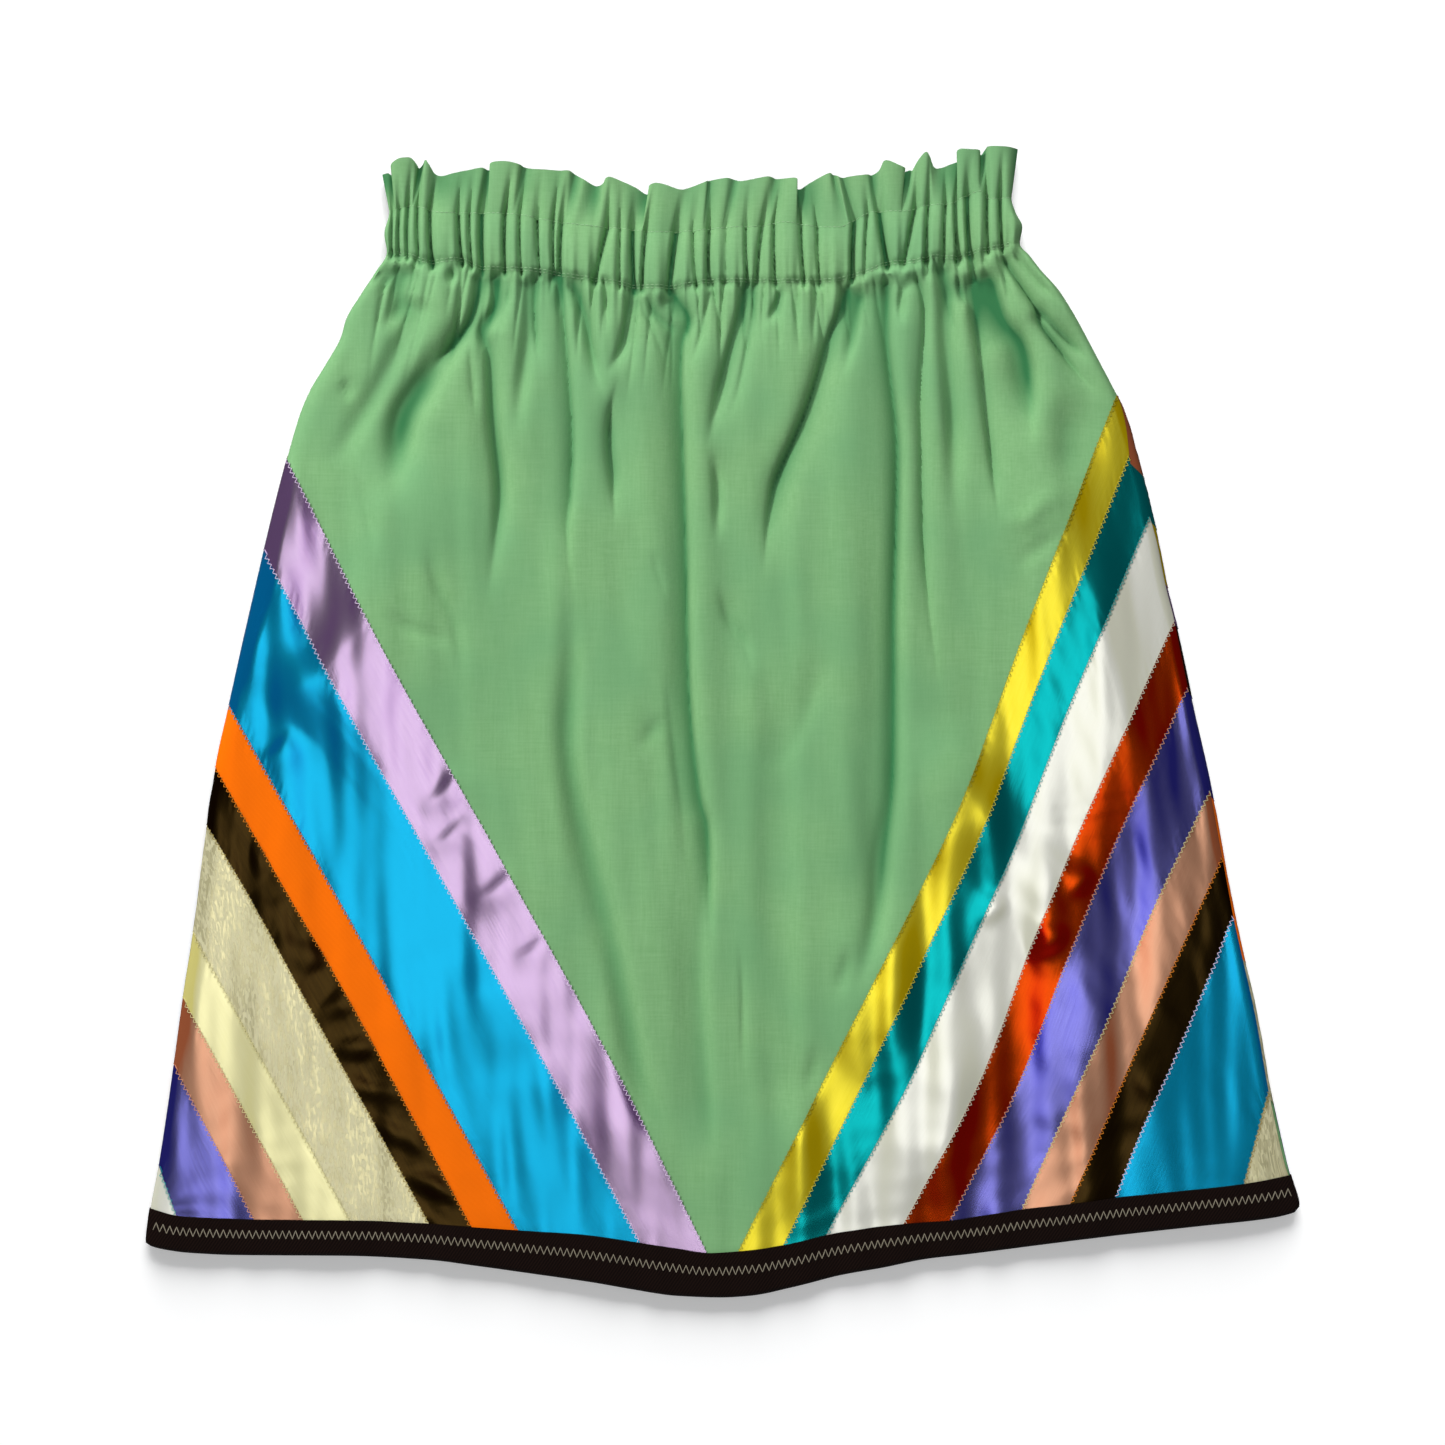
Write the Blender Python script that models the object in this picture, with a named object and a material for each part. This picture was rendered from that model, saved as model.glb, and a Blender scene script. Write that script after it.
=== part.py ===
"""A ribbon skirt laid flat: panels, ribbons, waist casing, ruffle and hem tape.

X runs to the viewer's right, Y from the hem to the waist and Z up from the surface that the
skirt lies on. The origin is on that surface, under the middle of the skirt. Sizes are in
millimetres until the meshes are made.
"""

import math
from collections import namedtuple

import bmesh
import bpy
import numpy as np

MM = 0.001

# Layers, as heights above the surface and thicknesses
CLOTH = 1.2
CASING_WALL = 2.4
RUFFLE_WALL = 1.9
GAP = 0.3
RIBBON_LIFT = GAP + CLOTH
BACK_PANEL_Z = RIBBON_LIFT
SIDE_FOLD_Z = 4.45
FRONT_LOW_Z = 4.7
FRONT_WAIST_Z = 7.6
CASING_PUFF = 2.4
CASING_BACK_RISE = 1.0
RUFFLE_Z = 6.9
RUFFLE_BACK_RISE = 0.6
RUFFLE_BACK_SHARE = 0.25
TURN_RUN = 0.1

# The skirt is a flattened tube: its sides roll over with this radius
ROLL = 5.0
SIDE_SWELL = 2.2
SIDE_SWELL_WIDTH = 28.0
WAIST_SWELL_LENGTH = 70.0
GATHER_LENGTH = 20.0
FOLD_START = 30.0

# The left side seam is at the fold, and the right one is rolled a little onto the front
SEAM_LEFT_DEG = 0.0
SEAM_RIGHT_DEG = 45.0
SEAM_HALF_GAP_DEG = 3.5

# Resolution of the panels
FRONT_COLUMNS = 20
BACK_COLUMNS = 8
PANEL_ROWS = 15
GATHER_COLUMNS = 2
CASING_SHARES = (0.0, 0.25, 0.5, 0.75, 1.0)
RUFFLE_SHARES = (0.0, 0.4, 1.0)
ROW_SPREAD = 1.15
TAPE_ROWS_ON_CLOTH = 3
TAPE_ROWS_PAST_CLOTH = 2
SHARP_DEG = 50.0

# Ribbons lie this far either side of a border, measured along X, and no border passes closer
# than the least cut to a point of the sheet
BORDER_CLEARANCE = 0.18
LEAST_CUT = 0.5
# A sheet's data starts with a point and a direction
POINT_VALUES = 6

# The skirt's two sides at each level
Level = namedtuple("Level", "y left right")
OUTLINE = (
    Level(345.0, -204.5, 177.5),
    Level(329.0, -204.5, 177.5),
    Level(315.0, -201.5, 173.5),
    Level(306.0, -200.0, 176.0),
    Level(296.0, -203.0, 180.0),
    Level(287.5, -200.5, 178.5),
    Level(283.5, -201.5, 181.5),
    Level(271.5, -208.0, 191.0),
    Level(256.5, -217.0, 203.5),
    Level(235.5, -227.0, 215.0),
    Level(211.5, -240.5, 229.0),
    Level(187.5, -253.0, 241.0),
    Level(157.5, -261.5, 250.0),
    Level(103.5, -275.0, 262.5),
    Level(13.5, -295.5, 281.5),
    Level(-76.5, -311.5, 300.5),
    Level(-166.5, -324.0, 319.0),
    Level(-256.5, -336.5, 337.0),
    Level(-315.0, -345.3, 345.3),
)

# Lower casing seam, upper casing seam and ruffle top, each as a line across the waist
Waist = namedtuple("Waist", "across lower upper top")
WAIST = (
    Waist(0.00, 282.5, 307.0, 330.0),
    Waist(0.04, 279.0, 306.5, 336.5),
    Waist(0.08, 275.5, 305.5, 329.5),
    Waist(0.16, 272.0, 305.5, 333.0),
    Waist(0.24, 269.5, 303.5, 332.0),
    Waist(0.32, 266.5, 297.5, 323.5),
    Waist(0.40, 261.5, 294.5, 320.0),
    Waist(0.48, 262.5, 295.5, 321.5),
    Waist(0.56, 264.0, 299.0, 326.5),
    Waist(0.64, 264.0, 299.0, 325.0),
    Waist(0.70, 264.5, 297.0, 328.5),
    Waist(0.78, 271.5, 306.0, 335.0),
    Waist(0.84, 276.0, 309.0, 334.5),
    Waist(0.92, 281.0, 316.5, 343.5),
    Waist(1.00, 287.5, 314.5, 345.0),
)
BACK_RUFFLE_DROP = 2.5

# The upper edge of the hem tape across the skirt, and the tape's height
Hem = namedtuple("Hem", "x y")
HEM = (
    Hem(-345.0, -292.0),
    Hem(-325.5, -296.0),
    Hem(-223.5, -298.5),
    Hem(-150.5, -302.5),
    Hem(-79.5, -307.5),
    Hem(-26.5, -315.5),
    Hem(-1.5, -317.5),
    Hem(36.5, -313.5),
    Hem(85.5, -303.5),
    Hem(136.0, -298.5),
    Hem(208.5, -288.5),
    Hem(280.5, -280.5),
    Hem(345.0, -271.5),
)
TAPE_HEIGHT = 22.4
TAPE_DIP = 5.6
TAPE_DIP_X = -20.0
TAPE_DIP_WIDTH = 105.0

# Broad folds that fan out from the gathers, as ridges between two points on the front
Fold = namedtuple("Fold", "x0 y0 x1 y1 width height")
FOLDS = (
    Fold(-163, 262, -222, 150, 15, 4.4),
    Fold(-118, 262, -130, 60, 22, 4.8),
    Fold(-66, 258, -86, 20, 20, 4.4),
    Fold(-12, 256, -4, 10, 18, 5.0),
    Fold(72, 256, 28, 120, 15, 5.4),
    Fold(104, 262, 106, 0, 20, 4.8),
    Fold(150, 268, 176, 90, 20, 3.8),
    Fold(-20, -20, 4, -250, 24, 3.0),
    Fold(-150, 60, -60, -180, 26, 2.0),
    Fold(200, 60, 110, -160, 26, 2.2),
)

# Flutes of the ruffle and the gathers under them, from the left end to the right
Flute = namedtuple("Flute", "across half_width height")
FLUTES = (
    Flute(0.045, 0.022, 3.6),
    Flute(0.125, 0.020, 2.6),
    Flute(0.20, 0.026, 3.0),
    Flute(0.285, 0.024, 2.2),
    Flute(0.36, 0.022, 3.4),
    Flute(0.43, 0.020, 2.8),
    Flute(0.51, 0.024, 2.4),
    Flute(0.595, 0.024, 3.2),
    Flute(0.675, 0.022, 2.6),
    Flute(0.75, 0.022, 3.6),
    Flute(0.825, 0.020, 3.2),
    Flute(0.90, 0.024, 3.8),
    Flute(0.965, 0.020, 2.4),
)
GATHER_SHARE = 0.45

# A ribbon's upper border, from its level at the side to its place on the hem. The three bows
# are how far it strays along X from the straight line, a quarter, half and three quarters down.
Ribbon = namedtuple("Ribbon", "name finish side_y bow1 bow2 bow3 hem_x")
FRONT_LEFT = (
    Ribbon("lilac", "lilac_satin", 158.5, -2.5, 1.0, 3.5, -9.5),
    Ribbon("blue", "blue_satin", 104.0, -1.5, 0.0, 1.5, -49.5),
    Ribbon("orange", "orange_matte", 11.0, 1.0, 2.0, 0.0, -122.5),
    Ribbon("brown", "brown_satin", -26.5, 1.0, 2.5, 1.5, -150.5),
    Ribbon("gold", "gold_lame", -61.0, 1.5, 0.5, 0.5, -176.0),
    Ribbon("cream", "cream_satin", -125.5, 0.0, 0.0, 0.0, -223.5),
    Ribbon("peach", "peach_satin", -164.5, 0.0, 0.0, 0.0, -251.5),
    Ribbon("periwinkle", "periwinkle_satin", -204.5, 0.0, 0.0, 0.0, -281.0),
    Ribbon("white", "ivory_satin", -265.5, 0.0, 0.0, 0.0, -327.5),
)
FRONT_RIGHT = (
    Ribbon("yellow", "yellow_satin", 196.0, 6.5, 14.5, 7.5, 9.5),
    Ribbon("teal", "teal_satin", 160.0, 4.0, 10.0, 6.0, 36.5),
    Ribbon("ivory", "ivory_satin", 123.5, 2.5, 8.5, 8.5, 62.0),
    Ribbon("rust", "rust_satin", 61.0, -1.0, 1.0, 7.0, 108.5),
    Ribbon("periwinkle", "periwinkle_satin", 21.5, -2.0, 0.5, 5.0, 136.0),
    Ribbon("peach", "peach_satin", -40.5, -2.0, 0.0, 0.0, 179.5),
    Ribbon("brown", "brown_satin", -80.5, -0.5, -1.0, -0.5, 208.5),
    Ribbon("blue", "blue_satin", -115.5, 1.0, 0.5, -1.0, 235.5),
    Ribbon("gold", "gold_lame", -221.0, 0.0, 0.0, 0.0, 312.5),
)
BACK_LEFT = (
    Ribbon("cream", "cream_satin", 160.0, 0.0, 0.0, 0.0, -8.0),
    Ribbon("teal", "teal_satin", 122.0, 0.0, 0.0, 0.0, -35.0),
    Ribbon("rust", "rust_satin", 84.0, 0.0, 0.0, 0.0, -62.0),
    Ribbon("lilac", "lilac_satin", 46.0, 0.0, 0.0, 0.0, -90.0),
    Ribbon("brown", "brown_satin", -18.0, 0.0, 0.0, 0.0, -137.0),
    Ribbon("yellow", "yellow_satin", -56.0, 0.0, 0.0, 0.0, -164.0),
    Ribbon("blue", "blue_satin", -94.0, 0.0, 0.0, 0.0, -192.0),
    Ribbon("peach", "peach_satin", -202.0, 0.0, 0.0, 0.0, -271.0),
    Ribbon("gold", "gold_lame", -240.0, 0.0, 0.0, 0.0, -300.0),
)
BACK_RIGHT = (
    Ribbon("peach", "peach_satin", 196.0, 0.0, 0.0, 0.0, 8.0),
    Ribbon("teal", "teal_satin", 155.0, 0.0, 0.0, 0.0, 37.0),
    Ribbon("yellow", "yellow_satin", 119.5, 0.0, 0.0, 0.0, 64.0),
    Ribbon("lilac", "lilac_satin", 83.0, 0.0, 0.0, 0.0, 91.0),
    Ribbon("brown", "brown_satin", 58.5, 0.0, 0.0, 0.0, 110.0),
    Ribbon("periwinkle", "periwinkle_satin", 16.5, 0.0, 0.0, 0.0, 140.0),
    Ribbon("orange", "orange_matte", -45.0, 0.0, 0.0, 0.0, 183.0),
    Ribbon("gold", "gold_lame", -142.0, 0.0, 0.0, 0.0, 252.0),
    Ribbon("blue", "blue_satin", -226.0, 0.0, 0.0, 0.0, 312.0),
)

# Finishes: linear colour, roughness and metallic value
Finish = namedtuple("Finish", "red green blue roughness metallic")
FINISHES = {
    "green_cotton": Finish(0.22, 0.45, 0.22, 0.9, 0.0),
    "dark_tape": Finish(0.008, 0.005, 0.003, 0.7, 0.0),
    "lilac_satin": Finish(0.55, 0.40, 0.65, 0.35, 0.0),
    "blue_satin": Finish(0.0, 0.33, 0.55, 0.35, 0.0),
    "orange_matte": Finish(0.85, 0.15, 0.0, 0.7, 0.0),
    "brown_satin": Finish(0.04, 0.02, 0.01, 0.3, 0.0),
    "gold_lame": Finish(0.55, 0.50, 0.30, 0.4, 0.3),
    "cream_satin": Finish(0.70, 0.65, 0.35, 0.4, 0.0),
    "peach_satin": Finish(0.70, 0.35, 0.22, 0.35, 0.0),
    "periwinkle_satin": Finish(0.12, 0.10, 0.45, 0.35, 0.0),
    "ivory_satin": Finish(0.65, 0.65, 0.52, 0.35, 0.0),
    "yellow_satin": Finish(0.75, 0.62, 0.08, 0.35, 0.0),
    "teal_satin": Finish(0.0, 0.30, 0.32, 0.35, 0.0),
    "rust_satin": Finish(0.50, 0.07, 0.0, 0.35, 0.0),
}

# One sheet of cloth before it has a thickness: each row of data holds a point, the direction
# that faces out of the skirt there and the point's distance from each ribbon border
Sheet = namedtuple("Sheet", "data faces")
# A column of a sheet: its share of the width between the side folds' rolls, and its turn in
# degrees, up from the side fold onto the front or, below zero, down onto the back
Column = namedtuple("Column", "side share turn")
# A row of a panel: its share of the drop from the casing to the tape, of the tape's height,
# and a shift along Y
Row = namedtuple("Row", "drop tape shift")


def clear_scene():
    for item in list(bpy.data.objects):
        bpy.data.objects.remove(item)


def outline(y):
    levels = OUTLINE[::-1]
    rising = [level.y for level in levels]
    left = np.interp(y, rising, [level.left for level in levels])
    right = np.interp(y, rising, [level.right for level in levels])
    return float(left), float(right)


def waist_line(across, edge):
    places = [row.across for row in WAIST]
    return float(np.interp(across, places, [getattr(row, edge) for row in WAIST]))


def hem_line(x):
    return float(np.interp(x, [row.x for row in HEM], [row.y for row in HEM]))


def tape_height(x):
    dip = math.exp(-(((x - TAPE_DIP_X) / TAPE_DIP_WIDTH) ** 2))
    return TAPE_HEIGHT + TAPE_DIP * dip


def border_x(ribbon, y, left_side):
    """Where a ribbon's upper border lies along X at a level, carried straight on past its ends."""
    side_x = outline(ribbon.side_y)[0 if left_side else 1]
    hem_y = hem_line(ribbon.hem_x)
    down = (y - ribbon.side_y) / (hem_y - ribbon.side_y)
    straight = side_x + (ribbon.hem_x - side_x) * down
    bows = (0.0, ribbon.bow1, ribbon.bow2, ribbon.bow3, 0.0)
    return straight + float(np.interp(down, (0.0, 0.25, 0.5, 0.75, 1.0), bows))


def border_marks(x, y, left_ribbons, right_ribbons):
    """Distance along X below each border: above zero on the ribbon's side of it."""
    marks = [border_x(ribbon, y, True) - x for ribbon in left_ribbons]
    marks += [x - border_x(ribbon, y, False) for ribbon in right_ribbons]
    return [math.copysign(max(abs(mark), LEAST_CUT), mark) for mark in marks]


def ridge(fold, x, y):
    """Height that one fold adds: full along its middle, fading out at both ends."""
    along = np.array([fold.x1 - fold.x0, fold.y1 - fold.y0], float)
    length = np.linalg.norm(along)
    offset = np.array([x - fold.x0, y - fold.y0])
    share = min(1.0, max(0.0, offset @ along / length**2))
    away = np.linalg.norm(offset - share * along)
    fade = math.cos(share * math.pi / 2)
    return fold.height * fade * math.exp(-((away / fold.width) ** 2))


def flutes(across):
    """Height of the ruffle's flutes at a place across the waist."""
    return sum(f.height * math.exp(-(((across - f.across) / f.half_width) ** 2)) for f in FLUTES)


def front_height(x, y):
    left, right = outline(y)
    across = (x - left) / (right - left)
    near_side = math.exp(-max(0.0, min(x - left, right - x)) / SIDE_SWELL_WIDTH)
    below = max(0.0, waist_line(across, "lower") - y)
    near_waist = math.exp(-((below / WAIST_SWELL_LENGTH) ** 2))
    low = FRONT_LOW_Z + (FRONT_WAIST_Z - FRONT_LOW_Z) * near_waist
    side = SIDE_SWELL * near_side * (1 - near_waist)
    gather = GATHER_SHARE * flutes(across) * math.exp(-below / GATHER_LENGTH)
    folds = sum(ridge(fold, x, y) for fold in FOLDS) * (1 - math.exp(-below / FOLD_START))
    return low + max(side, folds) + gather


def back_height(x, y):
    return BACK_PANEL_Z


def waist_share(x, y, low_edge, high_edge):
    """How far up between two waist lines a point is, and its place across the waist."""
    left, right = outline(y)
    across = (x - left) / (right - left)
    low = waist_line(across, low_edge)
    share = (y - low) / (waist_line(across, high_edge) - low)
    return min(1.0, max(0.0, share)), across


def casing_front_height(x, y):
    share, across = waist_share(x, y, "lower", "upper")
    puff = CASING_PUFF * math.sin(math.pi * share)
    return FRONT_WAIST_Z + puff + GATHER_SHARE * flutes(across)


def casing_back_height(x, y):
    share, _ = waist_share(x, y, "lower", "upper")
    return CASING_BACK_RISE * (1 - math.sin(math.pi * share))


def ruffle_front_height(x, y):
    share, across = waist_share(x, y, "upper", "top")
    return RUFFLE_Z + (GATHER_SHARE + (1 - GATHER_SHARE) * share) * flutes(across)


def ruffle_back_height(x, y):
    share, across = waist_share(x, y, "upper", "top")
    return RUFFLE_BACK_RISE * (1 - share) + RUFFLE_BACK_SHARE * flutes(1 - across)


def columns(count, middle_turn, left_turns, right_turns):
    """Columns of a sheet from the left side fold to the right one."""
    left = [Column("left", 0.0, turn) for turn in left_turns]
    middle = [Column("middle", k / count, middle_turn) for k in range(count + 1)]
    right = [Column("right", 1.0, turn) for turn in right_turns]
    return left + middle + right


def front_columns(count):
    left = (SEAM_LEFT_DEG + SEAM_HALF_GAP_DEG, 35.0, 65.0)
    right = (70.0, SEAM_RIGHT_DEG + SEAM_HALF_GAP_DEG)
    return columns(count, 90.0, left, right)


def back_columns(count):
    left = (SEAM_LEFT_DEG - SEAM_HALF_GAP_DEG, -45.0)
    right = (-55.0, -15.0, 15.0, SEAM_RIGHT_DEG - SEAM_HALF_GAP_DEG)
    return columns(count, -90.0, left, right)


def placed(column, y, front, back):
    """A column's point at one level, and the direction facing out of the skirt there."""
    left, right = outline(y)
    turn = math.radians(column.turn)
    inwards = ROLL * (1 - math.cos(turn))
    x = {
        "left": left + inwards,
        "middle": left + ROLL + column.share * (right - left - 2 * ROLL),
        "right": right - inwards,
    }[column.side]
    outwards = {"left": -1.0, "middle": 0.0, "right": 1.0}[column.side]
    surface = front(x, y) if column.turn > 0 else back(x, y)
    z = SIDE_FOLD_Z + (surface - SIDE_FOLD_Z) * abs(math.sin(turn))
    return [x, y, z, outwards * math.cos(turn), 0.0, math.sin(turn)]


def grid_faces(rows, width):
    """Two triangles for each cell, anticlockwise seen from above."""
    faces = []
    for row in range(rows - 1):
        for column in range(width - 1):
            a = row * width + column
            b = a + width
            faces.append((a, b, b + 1))
            faces.append((a, b + 1, a + 1))
    return faces


def sheet_of(lines, first, last, is_back):
    """A sheet through the points of some of the lines, facing down if it is the back's."""
    width = len(lines[0])
    data = np.array([point for line in lines[first : last + 1] for point in line])
    faces = grid_faces(last + 1 - first, width)
    return Sheet(data, [face[::-1] for face in faces] if is_back else faces)


def panel_rows(count):
    """Rows of a panel: down to the tape, then under it, round its turned edge and to the end."""
    rows = [Row((k / count) ** ROW_SPREAD, 0.0, -GAP if k == 0 else 0.0) for k in range(count)]
    rows.append(Row(1.0, 0.0, GAP))
    rows.append(Row(1.0, 0.0, 0.0))
    rows += [Row(1.0, 1.0, shift) for shift in (CLOTH + GAP, CLOTH, CLOTH - TURN_RUN, 0.0)]
    return rows


def panel_lines(across, rows, left_ribbons, right_ribbons):
    """Every row of a panel as a line of points with their marks."""
    hem_left = outline(HEM[0].y)[0]
    hem_right = outline(HEM[-1].y)[1]
    lines = []
    for row in rows:
        line = []
        for column in across:
            seam_y = waist_line(column.share, "lower")
            hem_x = hem_left + column.share * (hem_right - hem_left)
            tape_y = hem_line(hem_x)
            y = seam_y + (tape_y - seam_y) * row.drop - tape_height(hem_x) * row.tape + row.shift
            point = placed(column, y, front_height, back_height)
            line.append(point + border_marks(point[0], y, left_ribbons, right_ribbons))
        lines.append(line)
    return lines


def waist_lines(across, panel_count, shares, low_edge, high_edge, front, back, drop):
    """Rows of the casing or the ruffle between two edges, meeting the panel's own columns."""
    knots = [k / panel_count for k in range(panel_count + 1)]
    low_knots = [waist_line(knot, low_edge) for knot in knots]
    lines = []
    for share in shares:
        line = []
        for column in across:
            low = float(np.interp(column.share, knots, low_knots))
            high = waist_line(column.share, high_edge) - drop
            start = low + GAP
            end = high - GAP if high_edge == "upper" else high
            line.append(placed(column, start + (end - start) * share, front, back))
        lines.append(line)
    return lines


def clipped(sheet, mark, sign):
    """The part of a sheet that lies on one side of a ribbon border, just clear of it."""
    values = sheet.data[:, POINT_VALUES + mark] * sign - BORDER_CLEARANCE
    data = list(sheet.data)
    crossings = {}
    faces = []
    for face in sheet.faces:
        loop = []
        for start, end in zip(face, face[1:] + face[:1]):
            if values[start] > 0:
                loop.append(start)
            if (values[start] > 0) == (values[end] > 0):
                continue
            key = (min(start, end), max(start, end))
            if key not in crossings:
                share = values[start] / (values[start] - values[end])
                crossings[key] = len(data)
                data.append(data[start] + share * (data[end] - data[start]))
            loop.append(crossings[key])
        if len(loop) > 2:
            faces.append(tuple(loop))
    return Sheet(np.array(data), faces)


def material(name):
    found = bpy.data.materials.get(name)
    if found:
        return found
    finish = FINISHES[name]
    made = bpy.data.materials.new(name)
    made.use_nodes = True
    shader = made.node_tree.nodes["Principled BSDF"]
    shader.inputs["Base Color"].default_value = (finish.red, finish.green, finish.blue, 1.0)
    shader.inputs["Roughness"].default_value = finish.roughness
    shader.inputs["Metallic"].default_value = finish.metallic
    return made


def wall(name, finish, sheet, inner, outer):
    """A closed wall of cloth between two offsets from a sheet. Inner may differ point by point."""
    used = sorted({index for face in sheet.faces for index in face})
    inners = np.broadcast_to(inner, len(sheet.data))
    points = sheet.data[:, :3]
    facing = sheet.data[:, 3:6]
    shape = bmesh.new()
    low = {i: shape.verts.new((points[i] + inners[i] * facing[i]) * MM) for i in used}
    high = {i: shape.verts.new((points[i] + outer * facing[i]) * MM) for i in used}
    edges = {(a, b) for face in sheet.faces for a, b in zip(face, face[1:] + face[:1])}
    for face in sheet.faces:
        shape.faces.new([high[i] for i in face])
        shape.faces.new([low[i] for i in reversed(face)])
    for a, b in sorted(edges):
        if (b, a) not in edges:
            shape.faces.new((high[b], high[a], low[a], low[b]))
    bmesh.ops.triangulate(shape, faces=shape.faces[:])
    mesh = bpy.data.meshes.new(name)
    shape.to_mesh(mesh)
    shape.free()
    mesh.shade_smooth()
    mesh.set_sharp_from_angle(angle=math.radians(SHARP_DEG))
    mesh.materials.append(material(finish))
    made = bpy.data.objects.new(name, mesh)
    bpy.context.collection.objects.link(made)
    return made


def build_ribbons(side, prefix, ribbons, first_mark, body):
    """One wall for each ribbon, cut from the panel's own sheet between two borders."""
    for index, ribbon in enumerate(ribbons):
        cut = clipped(body, first_mark + index, 1.0)
        if index + 1 < len(ribbons):
            cut = clipped(cut, first_mark + index + 1, -1.0)
        name = f"ribbon_{side}_{prefix}{index + 1}_{ribbon.name}"
        wall(name, ribbon.finish, cut, GAP, RIBBON_LIFT)


def build_side(side, is_back, across, rows, left_ribbons, right_ribbons):
    """One panel with its ribbons and its hem tape."""
    lines = panel_lines(across, rows, left_ribbons, right_ribbons)
    tape_top = len(rows) - TAPE_ROWS_ON_CLOTH - TAPE_ROWS_PAST_CLOTH
    panel = sheet_of(lines, 0, tape_top + 1, is_back)
    wall(f"{side}_panel", "green_cotton", panel, -CLOTH, 0.0)
    body = sheet_of(lines, 0, tape_top - 1, is_back)
    build_ribbons(side, "l", left_ribbons, 0, body)
    build_ribbons(side, "r", right_ribbons, len(left_ribbons), body)
    tape = sheet_of(lines, tape_top, len(rows) - 1, is_back)
    on_cloth = [GAP] * (TAPE_ROWS_ON_CLOTH * len(across))
    past_cloth = [-CLOTH] * (TAPE_ROWS_PAST_CLOTH * len(across))
    wall(f"hem_tape_{side}", "dark_tape", tape, on_cloth + past_cloth, RIBBON_LIFT)


def build_waist(side, is_back, across, panel_count, drop):
    """One side's casing and ruffle."""
    casing = waist_lines(
        across,
        panel_count,
        CASING_SHARES,
        "lower",
        "upper",
        casing_front_height,
        casing_back_height,
        0.0,
    )
    sheet = sheet_of(casing[::-1], 0, len(casing) - 1, is_back)
    wall(f"casing_{side}", "green_cotton", sheet, -CASING_WALL, 0.0)
    ruffle = waist_lines(
        across,
        GATHER_COLUMNS * panel_count,
        RUFFLE_SHARES,
        "upper",
        "top",
        ruffle_front_height,
        ruffle_back_height,
        drop,
    )
    sheet = sheet_of(ruffle[::-1], 0, len(ruffle) - 1, is_back)
    wall(f"ruffle_{side}", "green_cotton", sheet, -RUFFLE_WALL, 0.0)


def main():
    clear_scene()
    front = front_columns(FRONT_COLUMNS)
    back = back_columns(BACK_COLUMNS)
    rows = panel_rows(PANEL_ROWS)
    build_side("front", False, front, rows, FRONT_LEFT, FRONT_RIGHT)
    build_side("back", True, back, rows, BACK_LEFT, BACK_RIGHT)
    front_gathers = front_columns(FRONT_COLUMNS * GATHER_COLUMNS)
    back_gathers = back_columns(BACK_COLUMNS * GATHER_COLUMNS)
    build_waist("front", False, front_gathers, FRONT_COLUMNS, 0.0)
    build_waist("back", True, back_gathers, BACK_COLUMNS, BACK_RUFFLE_DROP)


main()
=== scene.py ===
"""A ribbon skirt laid flat: its cloth, ribbons, stitches and studio, dressed on its frame.

X runs to the viewer's right, Y from the hem to the waist and Z up from the surface that the
skirt lies on. Sizes are in millimetres until a mesh is made.
"""

import logging
import math
from dataclasses import dataclass
from enum import Enum
from functools import cached_property

import bpy
import numpy as np
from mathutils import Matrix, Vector

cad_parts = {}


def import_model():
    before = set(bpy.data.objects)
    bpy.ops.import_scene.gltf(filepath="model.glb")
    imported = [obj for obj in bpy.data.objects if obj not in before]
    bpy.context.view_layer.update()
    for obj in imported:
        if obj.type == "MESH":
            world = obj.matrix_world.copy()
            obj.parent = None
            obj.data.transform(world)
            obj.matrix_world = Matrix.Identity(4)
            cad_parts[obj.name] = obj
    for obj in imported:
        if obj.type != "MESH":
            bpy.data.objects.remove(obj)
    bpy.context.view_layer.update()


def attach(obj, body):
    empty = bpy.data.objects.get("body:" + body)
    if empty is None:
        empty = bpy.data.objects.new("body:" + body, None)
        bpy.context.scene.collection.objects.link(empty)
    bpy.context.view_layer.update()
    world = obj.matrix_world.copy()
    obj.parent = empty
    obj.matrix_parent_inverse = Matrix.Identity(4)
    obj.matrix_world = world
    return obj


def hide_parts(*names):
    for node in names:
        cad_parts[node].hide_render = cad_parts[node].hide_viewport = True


LOG = logging.getLogger("ribbon_skirt")
MM = 0.001
BODY = "root"
SHARP_ANGLE = math.radians(55.0)

Array = np.ndarray
Row = tuple[float, ...]


class Side(Enum):
    """The skirt's two faces, by their names in the frame."""

    FRONT = "front"
    BACK = "back"


class Edge(Enum):
    """How a crease's sides fall towards its bottom line: the power of the distance."""

    SHARP = 1.0
    ROUND = 1.5
    SOFT = 2.0


SHARP, ROUND, SOFT = Edge.SHARP, Edge.ROUND, Edge.SOFT


def smoothstep(share: Array) -> Array:
    """An S-shaped rise from 0 to 1 as the share goes from 0 to 1."""
    share = np.clip(share, 0.0, 1.0)
    return share * share * (3.0 - 2.0 * share)


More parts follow.
